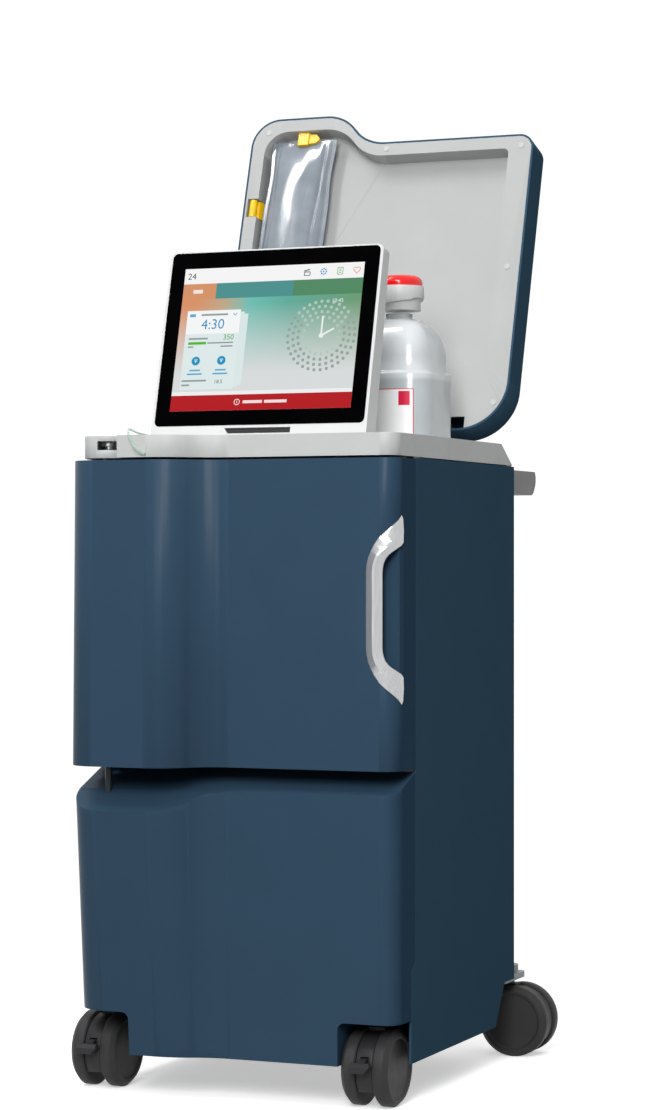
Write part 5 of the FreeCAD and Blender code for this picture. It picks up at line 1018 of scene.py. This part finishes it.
def bag_point(across, down, side):
    """Point on the bag's front (side -1) or back (side 1); the back is thinner where the clip swings."""
    half = bag_edge(down)
    body = max(0.0, 1 - (abs(across) / 0.86) ** 2.6)
    swell = bag_fat(down) * body ** 0.5
    folds = 0.0
    if side < 0:
        top_fade = math.exp(-down / 0.16)
        folds += 0.5 * top_fade * math.sin(across * 7.0 + 1.1) * body
        crease = math.exp(-((across - 0.66 - 0.05 * math.sin(down * 7.0)) / 0.05) ** 2)
        folds -= 2.6 * crease * min(1.0, down / 0.1)
        left = math.exp(-((across + 0.70 + 0.04 * math.sin(down * 9.0)) / 0.045) ** 2)
        folds -= 0.8 * left * min(1.0, down / 0.1)
        spot = Vector((across * 3.0, down * 5.0, 0.3))
        folds += 0.3 * noise.noise(spot) * body
    else:
        off_down = (down - CLIP_DOWN) / 0.1
        off_across = (across - CLIP_ACROSS) / 0.22
        folds -= CLIP_DENT * math.exp(-off_down ** 2) * math.exp(-off_across ** 2)
    thick = max(0.25, swell + folds * min(1.0, swell / 3.0))
    scallop = 7.0 * math.cos(across * math.pi) * math.exp(-down / 0.05) * (1 if abs(across) < 1 else 0)
    y = BAG_TOP_Y + down * BAG_LENGTH + max(0.0, scallop)
    x = BAG_X + across * half
    turned_x = x - math.sin(BAG_TILT) * (y - BAG_TOP_Y)
    return in_lid(turned_x, y, BAG_MIDDLE_DEPTH + side * thick)


def saline_bag():
    """Full bag: pillow, flat welds, draped folds below the top weld and a long crease at each side."""
    columns = 72
    rows = 120
    rings = []
    for row in range(rows + 1):
        down = row / rows
        ring = []
        for column in range(columns + 1):
            ring.append(bag_point(-1 + 2 * column / columns, down, -1))
        for column in range(columns - 1, 0, -1):
            ring.append(bag_point(-1 + 2 * column / columns, down, 1))
        rings.append(ring)
    bag = mesh_object("fluid_bag", loft(rings), "lid", MATERIALS["film"])
    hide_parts("saline_bag")


# Saline line

LINE_START_X = -0.1420
LINE_ROUTE = (
    (LINE_START_X - 0.0160, 0.0700, 0.8378),
    (LINE_START_X - 0.0159, 0.0510, 0.8379),
    (LINE_START_X - 0.0105, 0.0320, 0.8386),
    (LINE_START_X - 0.0025, -0.0020, 0.8386),
    (LINE_START_X + 0.0055, -0.0340, 0.8392),
    (LINE_START_X + 0.0125, -0.0600, 0.8412),
    (LINE_START_X + 0.0172, -0.0770, 0.8414),
    (LINE_START_X + 0.0212, -0.0855, 0.8325),
    (LINE_START_X + 0.0275, -0.0850, 0.8200),
    (LINE_START_X + 0.0350, -0.0835, 0.8115),
    (LINE_START_X + 0.0395, -0.0745, 0.8084),
)
LINE_DIAMETER = 0.0026


def saline_line():
    """Clear tube over the lip."""
    curve = bpy.data.curves.new("clear_line", "CURVE")
    curve.dimensions = "3D"
    spline = curve.splines.new("NURBS")
    spline.points.add(len(LINE_ROUTE) - 1)
    shift = Vector((0, -ORIGIN_Y * MM, 0))
    for point, route in zip(spline.points, LINE_ROUTE):
        point.co = (*(Vector(route) + shift), 1.0)
    spline.order_u = 3
    spline.use_endpoint_u = True
    spline.resolution_u = 12
    curve.bevel_depth = LINE_DIAMETER / 2
    curve.bevel_resolution = 6
    curve.materials.append(MATERIALS["tube"])
    line = bpy.data.objects.new("clear_line", curve)
    bpy.context.scene.collection.objects.link(line)
    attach(line, "console")
    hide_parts("saline_line")


# Stage

def background_ray(tree):
    """One for rays that show the background: from the camera, off gloss or through clear parts."""
    ray = add(tree, "ShaderNodeLightPath")
    seen = ray.outputs["Is Camera Ray"]
    for kind in ("Is Glossy Ray", "Is Transmission Ray"):
        either = add(tree, "ShaderNodeMath", operation="MAXIMUM")
        tree.links.new(seen, either.inputs[0])
        tree.links.new(ray.outputs[kind], either.inputs[1])
        seen = either.outputs[0]
    return seen


def floor_material():
    """White floor that keeps a soft shadow near the machine and is pure white farther out."""
    material = bpy.data.materials.new("studio_floor")
    material.use_nodes = True
    tree = material.node_tree
    tree.nodes.clear()
    output = add(tree, "ShaderNodeOutputMaterial")
    shaded = add(tree, "ShaderNodeBsdfDiffuse")
    shaded.inputs["Color"].default_value = (FLOOR_SHADE, FLOOR_SHADE, FLOOR_SHADE, 1.0)
    lift = add(tree, "ShaderNodeEmission", Strength=FLOOR_LIFT)
    near = add(tree, "ShaderNodeAddShader")
    white = add(tree, "ShaderNodeEmission", Strength=WHITE)
    distance = add(tree, "ShaderNodeVectorMath", operation="LENGTH")
    tree.links.new(place(tree), distance.inputs[0])
    reach = add(tree, "ShaderNodeMapRange")
    reach.inputs["From Min"].default_value = SHADOW_REACH
    reach.inputs["From Max"].default_value = WHITE_REACH
    tree.links.new(distance.outputs["Value"], reach.inputs["Value"])
    seen = add(tree, "ShaderNodeMixShader")
    plain = add(tree, "ShaderNodeBsdfDiffuse")
    plain.inputs["Color"].default_value = (FLOOR_BOUNCE, FLOOR_BOUNCE, FLOOR_BOUNCE, 1.0)
    choose = add(tree, "ShaderNodeMixShader")
    tree.links.new(shaded.outputs[0], near.inputs[0])
    tree.links.new(lift.outputs[0], near.inputs[1])
    tree.links.new(reach.outputs["Result"], seen.inputs[0])
    tree.links.new(near.outputs[0], seen.inputs[1])
    tree.links.new(white.outputs[0], seen.inputs[2])
    tree.links.new(background_ray(tree), choose.inputs[0])
    tree.links.new(plain.outputs[0], choose.inputs[1])
    tree.links.new(seen.outputs[0], choose.inputs[2])
    tree.links.new(choose.outputs[0], output.inputs["Surface"])
    return material


def stage_floor():
    """Wide level floor."""
    bpy.ops.mesh.primitive_plane_add(size=40.0, location=(0, 0, 0))
    floor = bpy.context.object
    floor.name = "studio_floor"
    floor.data.materials.append(floor_material())


def world_light():
    """Studio surroundings that brighten overhead, seen as white behind the machine."""
    world = bpy.data.worlds.new("studio")
    bpy.context.scene.world = world
    world.use_nodes = True
    tree = world.node_tree
    tree.nodes.clear()
    output = add(tree, "ShaderNodeOutputWorld")
    ambient = add(tree, "ShaderNodeBackground")
    white = add(tree, "ShaderNodeBackground", Strength=WHITE)
    for background in (ambient, white):
        background.inputs["Color"].default_value = (1.0, 1.0, 1.0, 1.0)
    split = add(tree, "ShaderNodeSeparateXYZ")
    tree.links.new(add(tree, "ShaderNodeTexCoord").outputs["Generated"], split.inputs["Vector"])
    height = add(tree, "ShaderNodeMapRange", interpolation_type="SMOOTHSTEP")
    height.inputs["From Min"].default_value = 0.35
    height.inputs["From Max"].default_value = 0.9
    height.inputs["To Min"].default_value = AMBIENT_LOW
    height.inputs["To Max"].default_value = AMBIENT_HIGH
    tree.links.new(split.outputs["Z"], height.inputs["Value"])
    tree.links.new(height.outputs["Result"], ambient.inputs["Strength"])
    choose = add(tree, "ShaderNodeMixShader")
    tree.links.new(background_ray(tree), choose.inputs[0])
    tree.links.new(ambient.outputs[0], choose.inputs[1])
    tree.links.new(white.outputs[0], choose.inputs[2])
    tree.links.new(choose.outputs[0], output.inputs["Surface"])


def soft_lamp(name, place_mm, aim_mm, width, height, power):
    """Rectangular lamp that points at a spot."""
    data = bpy.data.lights.new(name, "AREA")
    data.shape = "RECTANGLE"
    data.size = width
    data.size_y = height
    data.energy = power
    lamp = bpy.data.objects.new(name, data)
    bpy.context.scene.collection.objects.link(lamp)
    lamp.location = at(*place_mm)
    lamp.rotation_euler = (at(*aim_mm) - at(*place_mm)).to_track_quat("-Z", "Y").to_euler()


def lights():
    """Tall key above the camera's left, and a bright strip overhead on the left."""
    soft_lamp("key", (1000, -3450, 2350), (0, 0, 760), 1.3, 1.8, 122.0)
    soft_lamp("strip", (-980, -680, 3040), (-137, 360, 1170), 0.35, 1.3, 24.0)


def camera():
    """Level camera at the photograph's place."""
    data = bpy.data.cameras.new("camera")
    data.sensor_width = SENSOR
    data.lens = FOCAL_PIXELS / PHOTO_HEIGHT * SENSOR
    data.shift_y = HORIZON_DROP / PHOTO_HEIGHT
    data.clip_end = 60.0
    eye = bpy.data.objects.new("camera", data)
    bpy.context.scene.collection.objects.link(eye)
    eye.location = at(*CAMERA_PLACE)
    eye.rotation_euler = (math.pi / 2, 0, CAMERA_TURN)
    bpy.context.scene.camera = eye


def main():
    """Dress the frame and light it."""
    bpy.context.scene.view_settings.view_transform = "Standard"
    camera()
    saline_line()
    dress_nodes()
    display()
    chin_slot_painted_shade()
    bottle_body()
    bottle_label()
    saline_bag()
    stage_floor()
    world_light()
    lights()


main()
